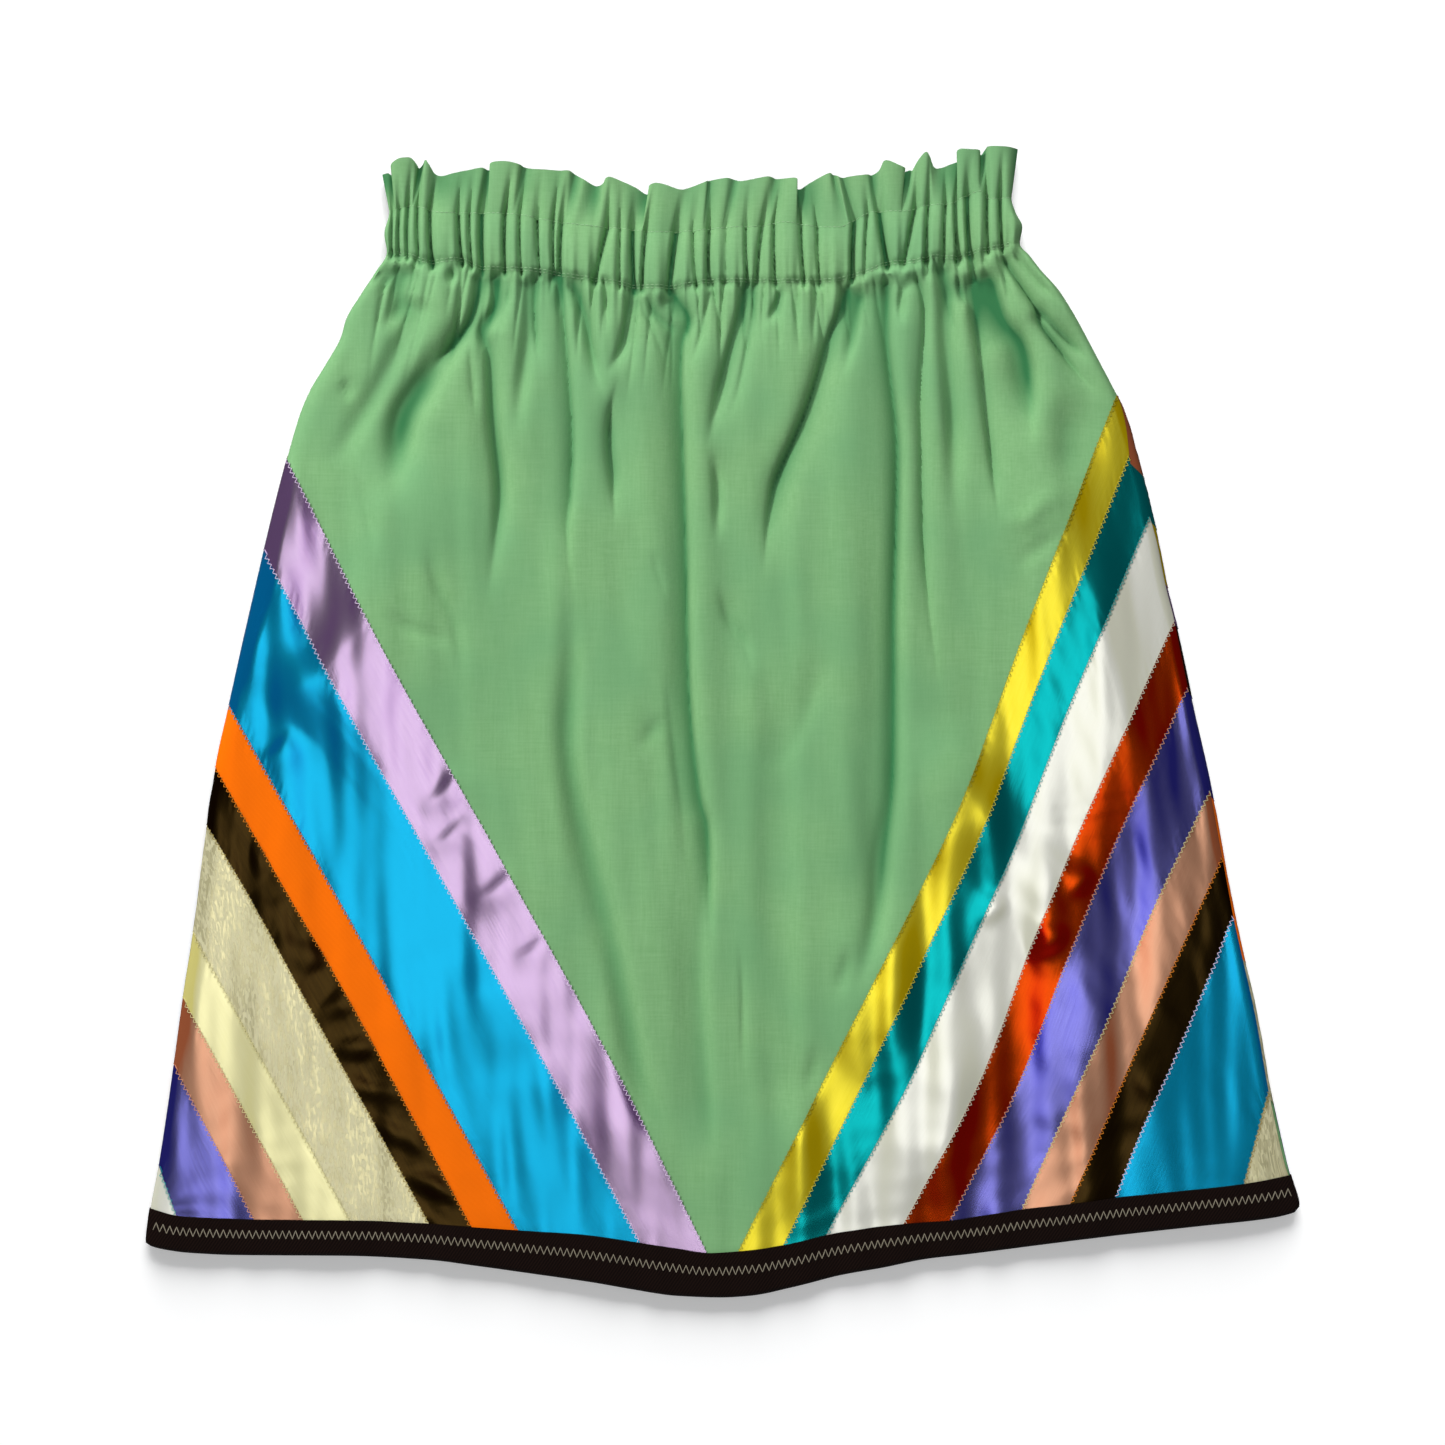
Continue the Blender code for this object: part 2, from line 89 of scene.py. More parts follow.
class SmoothLine:
    """A smooth line through the points of a table, with no overshoot between them."""

    def __init__(self, rows: tuple[Row, ...]) -> None:
        """Fits the line.

        Args:
            rows: Each point's place and value, with the places rising.
        """
        self.places, self.values = (np.array(column, float) for column in zip(*rows))
        rises = np.diff(self.values) / np.diff(self.places)
        self.slopes = np.concatenate([rises[:1], np.zeros(len(rises) - 1), rises[-1:]])
        before, after = rises[:-1], rises[1:]
        same = before * after > 0
        total = np.where(same, before + after, 1.0)
        self.slopes[1:-1] = np.where(same, 2 * before * after / total, 0.0)

    def __call__(self, at: Array | float) -> Array:
        """Reads the line, which is level past its ends.

        Args:
            at: Places in the table's first column.

        Returns:
            The line's value at each place.
        """
        at = np.clip(at, self.places[0], self.places[-1])
        index = np.clip(np.searchsorted(self.places, at) - 1, 0, len(self.places) - 2)
        span = self.places[index + 1] - self.places[index]
        share = (at - self.places[index]) / span
        low, high = self.values[index], self.values[index + 1]
        square, cube = share**2, share**3
        return (
            low * (2 * cube - 3 * square + 1)
            + high * (3 * square - 2 * cube)
            + span * self.slopes[index] * (cube - 2 * square + share)
            + span * self.slopes[index + 1] * (cube - square)
        )


class Ripple:
    """Seeded uneven waves, as a sum of cosines of many lengths and directions."""

    WAVES = 16
    FEWEST_TURNS = 0.55
    MOST_TURNS = 1.5

    def __init__(self, seed: int, first: float, second: float) -> None:
        """Draws the waves.

        Args:
            seed: The number that the draw starts from.
            first: A usual wavelength along the first coordinate, in mm.
            second: A usual wavelength along the second coordinate, in mm.
        """
        draw = np.random.default_rng(seed)
        turns = draw.uniform(0, 2 * math.pi, self.WAVES)
        speeds = 2 * math.pi * draw.uniform(self.FEWEST_TURNS, self.MOST_TURNS, self.WAVES)
        self.first = speeds * np.cos(turns) / first
        self.second = speeds * np.sin(turns) / second
        self.starts = draw.uniform(0, 2 * math.pi, self.WAVES)

    def __call__(self, p: Array, q: Array) -> Array:
        """Adds the waves up.

        Args:
            p: The first coordinate of each place, in mm.
            q: The second one.

        Returns:
            The waves' height, mostly from -1 to 1.
        """
        total = np.zeros(np.broadcast(p, q).shape)
        for first, second, start in zip(self.first, self.second, self.starts):
            total += np.cos(first * p + second * q + start)
        return total / math.sqrt(self.WAVES)


def smooth_path(points: tuple[Row, ...], steps: int) -> Array:
    """A Catmull-Rom curve through points.

    Args:
        points: The points, each a row of coordinates.
        steps: How many steps the curve takes between each two.

    Returns:
        The curve's points.
    """
    knots = np.array(points, float)
    padded = np.vstack([2 * knots[0] - knots[1], knots, 2 * knots[-1] - knots[-2]])
    share = np.linspace(0, 1, steps, endpoint=False)[:, None]
    runs = []
    for a, b, c, d in zip(padded, padded[1:], padded[2:], padded[3:]):
        straight = (c - a) * share
        square = (2 * a - 5 * b + 4 * c - d) * share**2
        cube = (3 * b - a - 3 * c + d) * share**3
        runs.append(b + 0.5 * (straight + square + cube))
    return np.vstack([*runs, knots[-1:]])


@dataclass(frozen=True)
class Crease:
    """A fold line down the cloth, seen from outside the skirt with the waist up.

    Depth is how far its bottom line lies below the cloth, or above it if under zero. Left and
    right are how wide its two sides are. The path runs from the waist's end. A path that starts
    above the seam level deepens over the start in mm, and any other over a share of its run.
    The valley is the wide shallow dip that the fold's sides sink into.
    """

    depth: float
    left: float
    right: float
    edge: Edge
    path: tuple[Row, ...]
    start: float = 9.0
    end: float = 0.45
    open_start: float = 0.4
    seam_level: float = 245.0
    valley: float = 0.3
    valley_width: float = 1.6
    valley_least: float = 4.0
    reach: float = 2.4
    steps: int = 4

    def nearest(self, x: Array, y: Array) -> tuple[Array, Array, Array, float]:
        """Finds the nearest point of the path to each place.

        Args:
            x: Places across.
            y: Places along.

        Returns:
            The distance to the path, the side as a sign, the run down the path to that point,
            and the path's whole run.
        """
        route = smooth_path(self.path, self.steps)
        away = np.full(x.shape, np.inf)
        turn = np.zeros(x.shape)
        along = np.zeros(x.shape)
        run = 0.0
        for (x0, y0), (x1, y1) in zip(route, route[1:]):
            step = math.hypot(x1 - x0, y1 - y0)
            share = ((x - x0) * (x1 - x0) + (y - y0) * (y1 - y0)) / step**2
            share = np.clip(share, 0.0, 1.0)
            dx = x - x0 - share * (x1 - x0)
            dy = y - y0 - share * (y1 - y0)
            distance = np.hypot(dx, dy)
            closer = distance < away
            away = np.where(closer, distance, away)
            turn = np.where(closer, (x1 - x0) * dy - (y1 - y0) * dx, turn)
            along = np.where(closer, run + share * step, along)
            run += step
        return away, turn, along, run

    def height(self, x: Array, y: Array) -> Array:
        """What the crease adds to the cloth's height.

        Args:
            x: Places across.
            y: Places along.

        Returns:
            The height that it adds at each place, in mm.
        """
        added = np.zeros(x.shape)
        widest = self.valley_width * max(self.left, self.right) + self.valley_least
        reach = self.reach * widest
        knots = np.array(self.path, float)
        near = (x > knots[:, 0].min() - reach) & (x < knots[:, 0].max() + reach)
        near &= (y > knots[:, 1].min() - reach) & (y < knots[:, 1].max() + reach)
        if not near.any():
            return added
        away, turn, along, run = self.nearest(x[near], y[near])
        width = np.where(turn > 0, self.right, self.left)
        start = self.start if self.path[0][1] > self.seam_level else self.open_start * run
        fade = smoothstep(along / start) * smoothstep((run - along) / (self.end * run))
        line = np.exp(-((away / width) ** self.edge.value))
        valley = np.exp(-((away / (self.valley_width * width + self.valley_least)) ** 2))
        added[near] = -self.depth * fade * (line + self.valley * valley)
        return added


def blurred(values: Array, axis: int, width: float) -> Array:
    """Smooths values along one axis by a bell.

    Args:
        values: The values, on a grid.
        axis: The axis.
        width: The bell's width, in steps of the grid.

    Returns:
        The smoothed values, on the same grid.
    """
    reach = int(3 * width)
    places = np.arange(-reach, reach + 1)
    bell = np.exp(-0.5 * (places / width) ** 2)
    bell /= bell.sum()
    ends = [(0, 0), (0, 0)]
    ends[axis] = (reach, reach)
    padded = np.pad(values, ends, mode="edge")
    return np.apply_along_axis(np.convolve, axis, padded, bell, "valid")


class Relief:
    """The height that creases add to the cloth, kept on a grid of places."""

    REACH = 352.0
    STEP_X = 0.8
    STEP_Y = 1.6
    LAST_CELL = 1.001

    def __init__(self, creases: tuple[Crease, ...], level_x: float, level_y: float) -> None:
        """Adds the creases up.

        Args:
            creases: The creases.
            level_x: How far across the cloth keeps its mean height, in mm, or 0 if it doesn't.
            level_y: How far along it does.
        """
        across = np.arange(-self.REACH, self.REACH, self.STEP_X)
        along = np.arange(-self.REACH, self.REACH, self.STEP_Y)
        x, y = np.meshgrid(across, along)
        self.values = np.zeros(x.shape)
        for crease in creases:
            self.values += crease.height(x, y)
        if level_x:
            mean = blurred(self.values, 1, level_x / self.STEP_X)
            self.values = self.values - blurred(mean, 0, level_y / self.STEP_Y)

    def __call__(self, x: Array, y: Array) -> Array:
        """Reads the height between the grid's places.

        Args:
            x: Places across.
            y: Places along.

        Returns:
            The height at each place, in mm.
        """
        rows, columns = self.values.shape
        across = np.clip((x + self.REACH) / self.STEP_X, 0, columns - self.LAST_CELL)
        along = np.clip((y + self.REACH) / self.STEP_Y, 0, rows - self.LAST_CELL)
        column, row = across.astype(int), along.astype(int)
        share_x, share_y = across - column, along - row
        first = self.values[row, column] * (1 - share_x) + self.values[row, column + 1] * share_x
        second = self.values[row + 1, column] * (1 - share_x)
        second = second + self.values[row + 1, column + 1] * share_x
        return first * (1 - share_y) + second * share_y


# Folds that fall from the gathers at the waist, from the left side to the right one
PANEL_CREASES = (
    Crease(1.5, 1.5, 2.0, SHARP, ((-201, 276), (-206, 268), (-211, 260))),
    Crease(1.3, 1.5, 1.8, SHARP, ((-194, 276), (-200, 266), (-207, 256))),
    Crease(2.3, 5.0, 5.0, SOFT, ((-187, 277), (-193, 263), (-195, 247), (-207, 232))),
    Crease(1.5, 1.5, 1.5, SHARP, ((-175, 283), (-174, 275), (-173, 267))),
    Crease(1.7, 6.5, 6.5, SOFT, ((-181, 256), (-193, 226), (-216, 184), (-230, 162), (-247, 157))),
    Crease(1.0, 1.5, 2.0, SHARP, ((-229, 206), (-226, 200), (-222, 192))),
    Crease(0.8, 2.0, 4.0, ROUND, ((-222, 152), (-212, 121), (-207, 100))),
    Crease(1.8, 3.0, 3.0, SOFT, ((-160, 277), (-162, 268), (-163, 260))),
    Crease(4.4, 2.2, 3.2, SHARP, ((-145, 273), (-147, 256), (-153, 238), (-166, 222), (-176, 210))),
    Crease(
        4.0, 8.5, 9.0, SOFT,
        ((-153, 240), (-168, 220), (-183, 198), (-193, 176), (-199, 125)),
        18.0,
    ),
    Crease(1.2, 2.0, 3.0, SHARP, ((-152, 236), (-151, 217), (-149, 195), (-147, 179))),
    Crease(
        3.3, 3.2, 5.0, ROUND,
        (
            (-137, 274), (-136, 250), (-144, 235), (-140, 219), (-138, 180), (-134, 132),
            (-141, 67),
        ),
    ),
    Crease(1.0, 1.5, 1.5, SHARP, ((-130, 272), (-129, 258), (-129, 245))),
    Crease(1.9, 4.5, 4.5, SOFT, ((-117, 270), (-117, 231), (-121, 195), (-124, 166))),
    Crease(1.9, 1.5, 3.2, SHARP, ((-112, 273), (-113, 249), (-111, 223), (-106, 206))),
    Crease(
        3.0, 8.0, 1.9, SHARP,
        ((-97, 273), (-95, 242), (-90, 179), (-91, 139), (-93, 118), (-91, 91), (-87, 67)),
    ),
    Crease(2.8, 4.2, 3.0, ROUND, ((-92, 270), (-83, 246), (-79, 226), (-74, 205), (-68, 192))),
    Crease(2.6, 2.2, 4.2, ROUND, ((-53, 265), (-57, 242), (-61, 223), (-71, 207))),
    Crease(2.9, 2.2, 5.5, SHARP, ((-62, 208), (-67, 187), (-68, 166), (-66, 145), (-64, 115))),
    Crease(1.0, 1.5, 1.5, SHARP, ((-51, 255), (-38, 227), (-34, 212))),
    Crease(1.9, 3.0, 3.0, ROUND, ((-48, 260), (-38, 242), (-24, 234))),
    Crease(
        3.7, 9.0, 1.8, SHARP,
        (
            (-33, 262), (-20, 243), (-24, 228), (-25, 206), (-24, 173), (-22, 105), (-20, 15),
            (-14, -43), (-9, -65), (-7, -118), (-2, -145),
        ),
        end=0.2,
    ),
    Crease(1.6, 9.0, 6.0, SOFT, ((-12, -75), (-15, -148), (-12, -210), (-5, -282)), end=0.3),
    Crease(1.5, 1.5, 3.2, SHARP, ((-6, 264), (-12, 238), (-15, 226), (-21, 211))),
    Crease(0.5, 1.6, 2.4, ROUND, ((-44, 104), (-39, 90), (-33, 74))),
    Crease(0.5, 4.0, 4.0, SOFT, ((-31, 6), (-43, -6), (-54, -20))),
    Crease(1.0, 9.0, 9.0, SOFT, ((-44, 60), (-42, 0), (-40, -50), (-38, -125)), end=0.6),
    Crease(0.8, 3.0, 5.0, ROUND, ((-34, 40), (-31, 0), (-26, -40), (-19, -104)), end=0.6),
    Crease(2.7, 2.6, 5.0, ROUND, ((15, 267), (11, 247), (0, 206), (-5, 184), (-10, 160))),
    Crease(1.4, 3.0, 3.2, SOFT, ((-8, 166), (-3, 145), (-3, 105)), 10.0),
    Crease(1.2, 2.4, 4.4, ROUND, ((-4, 84), (4, 61), (13, 48), (20, 27))),
    Crease(1.4, 1.5, 2.5, SHARP, ((19, 267), (18, 245), (13, 217), (9, 198), (1, 178))),
    Crease(1.9, 2.0, 3.2, ROUND, ((37, 265), (31, 247), (23, 237))),
    Crease(1.2, 1.5, 2.0, SHARP, ((57, 268), (55, 245), (54, 223))),
    Crease(0.8, 12.0, 6.0, SOFT, ((62, 48), (50, 8), (37, -18), (10, -30)), end=0.6),
    Crease(0.9, 14.0, 14.0, SOFT, ((34, 20), (33, -60), (30, -160)), end=0.6),
    Crease(
        3.5, 1.9, 8.0, SHARP,
        ((77, 267), (70, 246), (63, 228), (50, 187), (33, 148), (29, 132), (27, 118), (24, 85)),
        end=0.35,
    ),
    Crease(1.6, 4.0, 2.2, SOFT, ((83, 262), (80, 242), (76, 222), (72, 204))),
    Crease(
        4.1, 8.0, 2.4, SHARP,
        (
            (99, 270), (99, 256), (99, 226), (104, 180), (105, 145), (103, 67), (103, 22),
            (102, -40), (97, -81), (93, -128),
        ),
        end=0.25,
    ),
    Crease(1.8, 6.0, 5.0, SOFT, ((100, -40), (94, -105), (85, -145), (72, -172))),
    Crease(0.8, 4.0, 4.0, SOFT, ((77, -132), (72, -152), (66, -166))),
    Crease(0.6, 4.0, 5.0, SOFT, ((57, -192), (53, -210), (48, -226))),
    Crease(0.6, 1.5, 2.2, ROUND, ((10, -128), (12, -162), (12, -189), (13, -214))),
    Crease(1.7, 2.0, 3.2, ROUND, ((113, 270), (107, 255), (106, 236))),
    Crease(
        2.6, 4.0, 2.5, SHARP,
        (
            (115, 272), (120, 256), (121, 234), (119, 200), (119, 173), (121, 100), (127, 42),
            (131, 8),
        ),
    ),
    Crease(2.9, 5.5, 6.0, SOFT, ((131, 279), (134, 259), (134, 234), (138, 180), (139, 112))),
    Crease(1.6, 1.5, 2.0, SHARP, ((140, 270), (144, 255), (148, 248))),
    Crease(
        2.8, 2.0, 6.5, SHARP,
        ((148, 283), (151, 259), (152, 241), (155, 210), (161, 155), (166, 117)),
        end=0.3,
    ),
    Crease(
        4.6, 13.0, 3.4, ROUND,
        ((158, 274), (168, 243), (179, 228), (184, 205), (184, 160)),
        12.0,
    ),
    Crease(
        3.2, 1.9, 2.6, SHARP,
        ((166, 283), (175, 268), (188, 248), (191, 238), (210, 213), (222, 200), (232, 197)),
    ),
    Crease(2.1, 3.0, 2.0, ROUND, ((187, 251), (200, 237), (210, 227), (221, 214))),
    Crease(1.3, 2.0, 2.2, ROUND, ((172, 285), (188, 265), (206, 247))),
    Crease(-0.8, 5.0, 5.0, SOFT, ((164, 124), (180, 121), (193, 132), (207, 131)), 8.0),
    Crease(0.7, 3.0, 5.5, SOFT, ((173, 91), (193, 106), (208, 115))),
    Crease(1.4, 11.0, 11.0, SOFT, ((204, 200), (207, 168), (203, 134)), 16.0),
    Crease(
        2.2, 8.0, 7.0, SOFT,
        (
            (-92, 110), (-91, 40), (-93, -15), (-84, -66), (-70, -121), (-59, -170), (-49, -216),
            (-31, -251), (-18, -275),
        ),
        open_start=0.3, end=0.25,
    ),
    Crease(0.9, 3.0, 5.0, SOFT, ((-178, 112), (-172, 84), (-160, 56), (-154, 24))),
    Crease(0.7, 3.0, 4.0, SOFT, ((-206, 66), (-182, 54), (-156, 47))),
)


# Low swells where the panel's folds run on under the ribbons, from left to right on each side
RIBBON_SWELLS = (
    Crease(
        -4.4, 19.0, 50.0, SOFT,
        ((-184, 178), (-199, 122), (-207, 84), (-228, 40), (-272, 0)),
        open_start=0.3, end=0.2,
    ),
    Crease(
        -2.2, 9.0, 20.0, SOFT,
        ((-250, 165), (-260, 121), (-273, 58), (-296, 16)),
        open_start=0.3, end=0.3,
    ),
    Crease(-1.3, 5.0, 14.0, SOFT, ((-152, -22), (-166, -42), (-182, -56)), end=0.5),
    Crease(-0.9, 4.0, 12.0, SOFT, ((-150, -52), (-162, -68), (-178, -78)), end=0.5),
    Crease(-1.1, 5.0, 13.0, SOFT, ((-118, -82), (-134, -100), (-154, -112)), end=0.5),
    Crease(-0.7, 4.0, 10.0, SOFT, ((-100, -122), (-112, -136), (-128, -146)), end=0.5),
    Crease(-1.2, 4.0, 12.0, SOFT, ((-256, -2), (-266, -18), (-284, -28)), end=0.5),
    Crease(-1.3, 20.0, 34.0, SOFT, ((-148, -130), (-142, -165), (-138, -215)), end=0.6),
    Crease(-0.9, 14.0, 26.0, SOFT, ((-190, -140), (-186, -185), (-182, -240)), end=0.6),
    Crease(-0.6, 8.0, 12.0, SOFT, ((-112, -194), (-107, -222), (-104, -255)), end=0.6),
    Crease(-1.5, 20.0, 36.0, SOFT, ((-284, -100), (-284, -170), (-288, -250)), end=0.6),
    Crease(-0.9, 11.0, 20.0, SOFT, ((-68, -215), (-62, -250), (-58, -300)), end=0.6),
    Crease(
        -5.6, 40.0, 19.0, SOFT,
        ((184, 215), (197, 150), (212, 96), (228, 42), (241, -10), (251, -52), (256, -112)),
        open_start=0.3, end=0.3,
    ),
    Crease(-4.6, 34.0, 17.0, SOFT, ((134, 10), (140, -25), (156, -62), (176, -104)), end=0.45),
    Crease(-4.2, 26.0, 16.0, SOFT, ((92, -90), (98, -132), (96, -180), (88, -232)), end=0.5),
    Crease(-3.4, 24.0, 14.0, SOFT, ((190, -60), (194, -100), (198, -160)), end=0.6),
    Crease(-4.4, 34.0, 17.0, SOFT, ((146, -160), (138, -215), (128, -262), (120, -310)), end=0.4),
    Crease(-2.4, 18.0, 12.0, SOFT, ((44, -210), (42, -260), (42, -312)), end=0.6),
    Crease(-2.6, 40.0, 26.0, SOFT, ((232, -130), (234, -200), (236, -270)), end=0.6),
    Crease(-1.6, 11.0, 5.0, SOFT, ((222, -84), (212, -98), (200, -104)), end=0.5),
    Crease(-1.8, 12.0, 6.0, SOFT, ((205, -118), (196, -132), (180, -138)), end=0.5),
    Crease(-1.4, 11.0, 5.0, SOFT, ((170, -102), (160, -114), (146, -118)), end=0.5),
)


@dataclass(frozen=True)
class Slit:
    """A tight gather across the casing, from its place on the upper seam to the lower one."""

    top_x: float
    low_x: float
    depth: float
    left: float = 1.6
    right: float = 1.6


CASING_SLITS = (
    Slit(-197.5, -198.5, 2.2), Slit(-193.5, -194.5, 2.4), Slit(-188.5, -189.0, 3.0),
    Slit(-183.0, -181.5, 2.6), Slit(-176.0, -174.0, 3.4, 1.4, 2.4),
    Slit(-158.5, -156.0, 3.2, 2.0, 1.4), Slit(-152.0, -150.0, 2.4),
    Slit(-144.5, -144.0, 5.6, 1.7, 1.7), Slit(-130.5, -130.5, 3.6, 1.4, 2.0),
    Slit(-121.5, -120.5, 2.0), Slit(-111.5, -109.0, 2.6, 1.4, 2.4),
    Slit(-101.5, -101.0, 2.6, 1.6, 1.6), Slit(-96.0, -97.5, 3.4, 2.0, 1.6),
    Slit(-67.0, -77.0, 3.2, 3.0, 1.6), Slit(-61.0, -61.5, 1.8), Slit(-54.0, -53.0, 5.0, 1.6, 1.8),
    Slit(-45.5, -48.5, 2.6, 1.4, 2.6), Slit(-27.0, -32.5, 6.0, 1.6, 2.0), Slit(-17.5, -15.5, 2.0),
    Slit(-8.0, -8.5, 2.8, 1.4, 2.4), Slit(2.5, 3.0, 1.2, 3.0, 3.0), Slit(14.0, 15.0, 2.2),
    Slit(24.5, 20.0, 2.4, 1.4, 2.2), Slit(31.0, 32.0, 2.6), Slit(47.0, 49.5, 2.6, 2.2, 1.4),
    Slit(57.0, 58.5, 2.2), Slit(79.5, 77.5, 4.8, 1.6, 2.0), Slit(87.5, 85.0, 2.0),
    Slit(93.5, 99.5, 6.4, 1.8, 1.8), Slit(117.5, 108.5, 3.0, 2.4, 1.4), Slit(124.0, 122.0, 2.4),
    Slit(134.0, 133.0, 2.8), Slit(139.5, 141.0, 3.4, 1.4, 2.0), Slit(147.0, 148.5, 4.6, 2.4, 2.0),
    Slit(158.5, 159.5, 3.0), Slit(166.5, 168.0, 3.4, 1.6, 1.6),
)


# The skirt's left side from the hem up, as Y and X
LEFT_SIDE = SmoothLine(
    (
        (-320.0, -344.5), (-313.0, -345.3), (-292.5, -343.0), (-265.5, -338.0), (-204.5, -329.0),
        (-164.5, -323.5), (-125.5, -317.5), (-61.0, -309.0), (-26.5, -304.0), (10.5, -296.0),
        (103.5, -275.0), (163.5, -260.0), (185.5, -253.5), (199.5, -247.5), (214.5, -238.5),
        (231.5, -229.0), (242.0, -226.0), (257.0, -217.0), (270.0, -208.5), (282.5, -201.5),
        (293.0, -203.0), (307.0, -200.0), (318.0, -202.5), (330.0, -204.5), (346.0, -204.5),
    )
)

# The skirt's right side from the hem up, as Y and X
RIGHT_SIDE = SmoothLine(
    (
        (-300.0, 344.5), (-290.0, 345.3), (-272.0, 340.5), (-221.0, 329.0), (-178.5, 321.5),
        (-115.5, 307.5), (-80.5, 301.0), (-40.5, 293.5), (21.5, 280.0), (61.0, 272.0),
        (83.0, 266.5), (119.5, 259.5), (155.0, 250.5), (189.0, 240.5), (199.0, 235.5),
        (211.5, 229.0), (258.5, 202.5), (271.5, 191.0), (280.0, 184.5), (287.5, 178.5),
        (297.5, 180.0), (306.0, 176.0), (315.0, 173.5), (332.5, 177.5), (346.0, 177.5),
    )
)

# The casing's lower seam from the left, as X and Y
LOWER_SEAM = SmoothLine(
    (
        (-201.5, 282.0), (-189.0, 280.0), (-175.0, 275.5), (-157.0, 277.0), (-144.0, 272.0),
        (-112.0, 270.5), (-90.0, 267.0), (-63.0, 263.0), (-53.0, 261.0), (-32.5, 260.5),
        (-6.0, 264.0), (14.0, 264.5), (33.0, 264.0), (67.0, 264.5), (77.0, 267.0), (90.0, 271.0),
        (100.0, 275.0), (113.0, 275.5), (129.0, 278.5), (140.0, 278.0), (148.5, 281.0),
        (163.0, 284.0), (178.5, 287.5),
    )
)

# The casing's upper seam from the left, as X and Y
UPPER_SEAM = SmoothLine(
    (
        (-200.0, 307.0), (-187.0, 310.0), (-167.0, 305.5), (-140.5, 305.5), (-122.0, 304.5),
        (-109.5, 302.0), (-82.5, 298.0), (-54.5, 295.5), (-40.5, 294.0), (-21.5, 294.5),
        (5.0, 297.0), (20.0, 297.5), (36.5, 300.0), (55.5, 297.5), (70.5, 297.0), (78.5, 301.0),
        (91.5, 306.5), (109.5, 306.5), (121.0, 310.0), (136.0, 311.0), (146.0, 316.0),
        (155.0, 318.5), (160.0, 314.0), (174.0, 315.0),
    )
)

# The hem tape's upper edge from the left, as X and Y
TAPE_TOP = SmoothLine(
    (
        (-345.0, -291.5), (-325.5, -296.0), (-281.0, -298.0), (-223.5, -298.5), (-175.5, -300.5),
        (-150.5, -302.5), (-122.5, -304.5), (-79.5, -307.5), (-49.0, -312.0), (-26.5, -315.5),
        (-8.5, -318.0), (10.0, -317.0), (36.5, -313.5), (62.0, -307.5), (85.5, -303.5),
        (108.5, -300.5), (136.0, -298.5), (179.0, -292.0), (208.5, -288.5), (235.5, -285.0),
        (312.5, -277.0), (329.0, -274.5), (345.0, -271.5),
    )
)

# The hem tape's folded lower edge from the left, as X and Y
TAPE_BOTTOM = SmoothLine(
    (
        (-345.5, -312.0), (-343.0, -314.5), (-336.0, -316.5), (-323.0, -318.5), (-293.0, -320.0),
        (-225.0, -320.5), (-175.5, -323.0), (-152.0, -326.0), (-116.0, -331.0), (-78.0, -336.5),
        (-49.0, -341.5), (-28.0, -344.5), (-1.0, -345.5), (16.5, -344.5), (41.5, -339.5),
        (71.5, -332.0), (97.0, -327.5), (121.5, -322.5), (152.0, -319.0), (191.0, -314.0),
        (235.0, -308.5), (289.0, -302.5), (325.5, -298.5), (343.0, -294.5), (345.5, -290.0),
    )
)

# How far the right side seam lies inside the right side, as Y and the distance
SEAM_INSET = SmoothLine(
    (
        (-345.0, 1.6), (100.0, 1.6), (123.0, 3.0), (140.0, 5.0), (155.0, 6.4), (162.0, 5.4),
        (180.0, 2.6), (196.0, 1.2), (345.0, 1.2),
    )
)


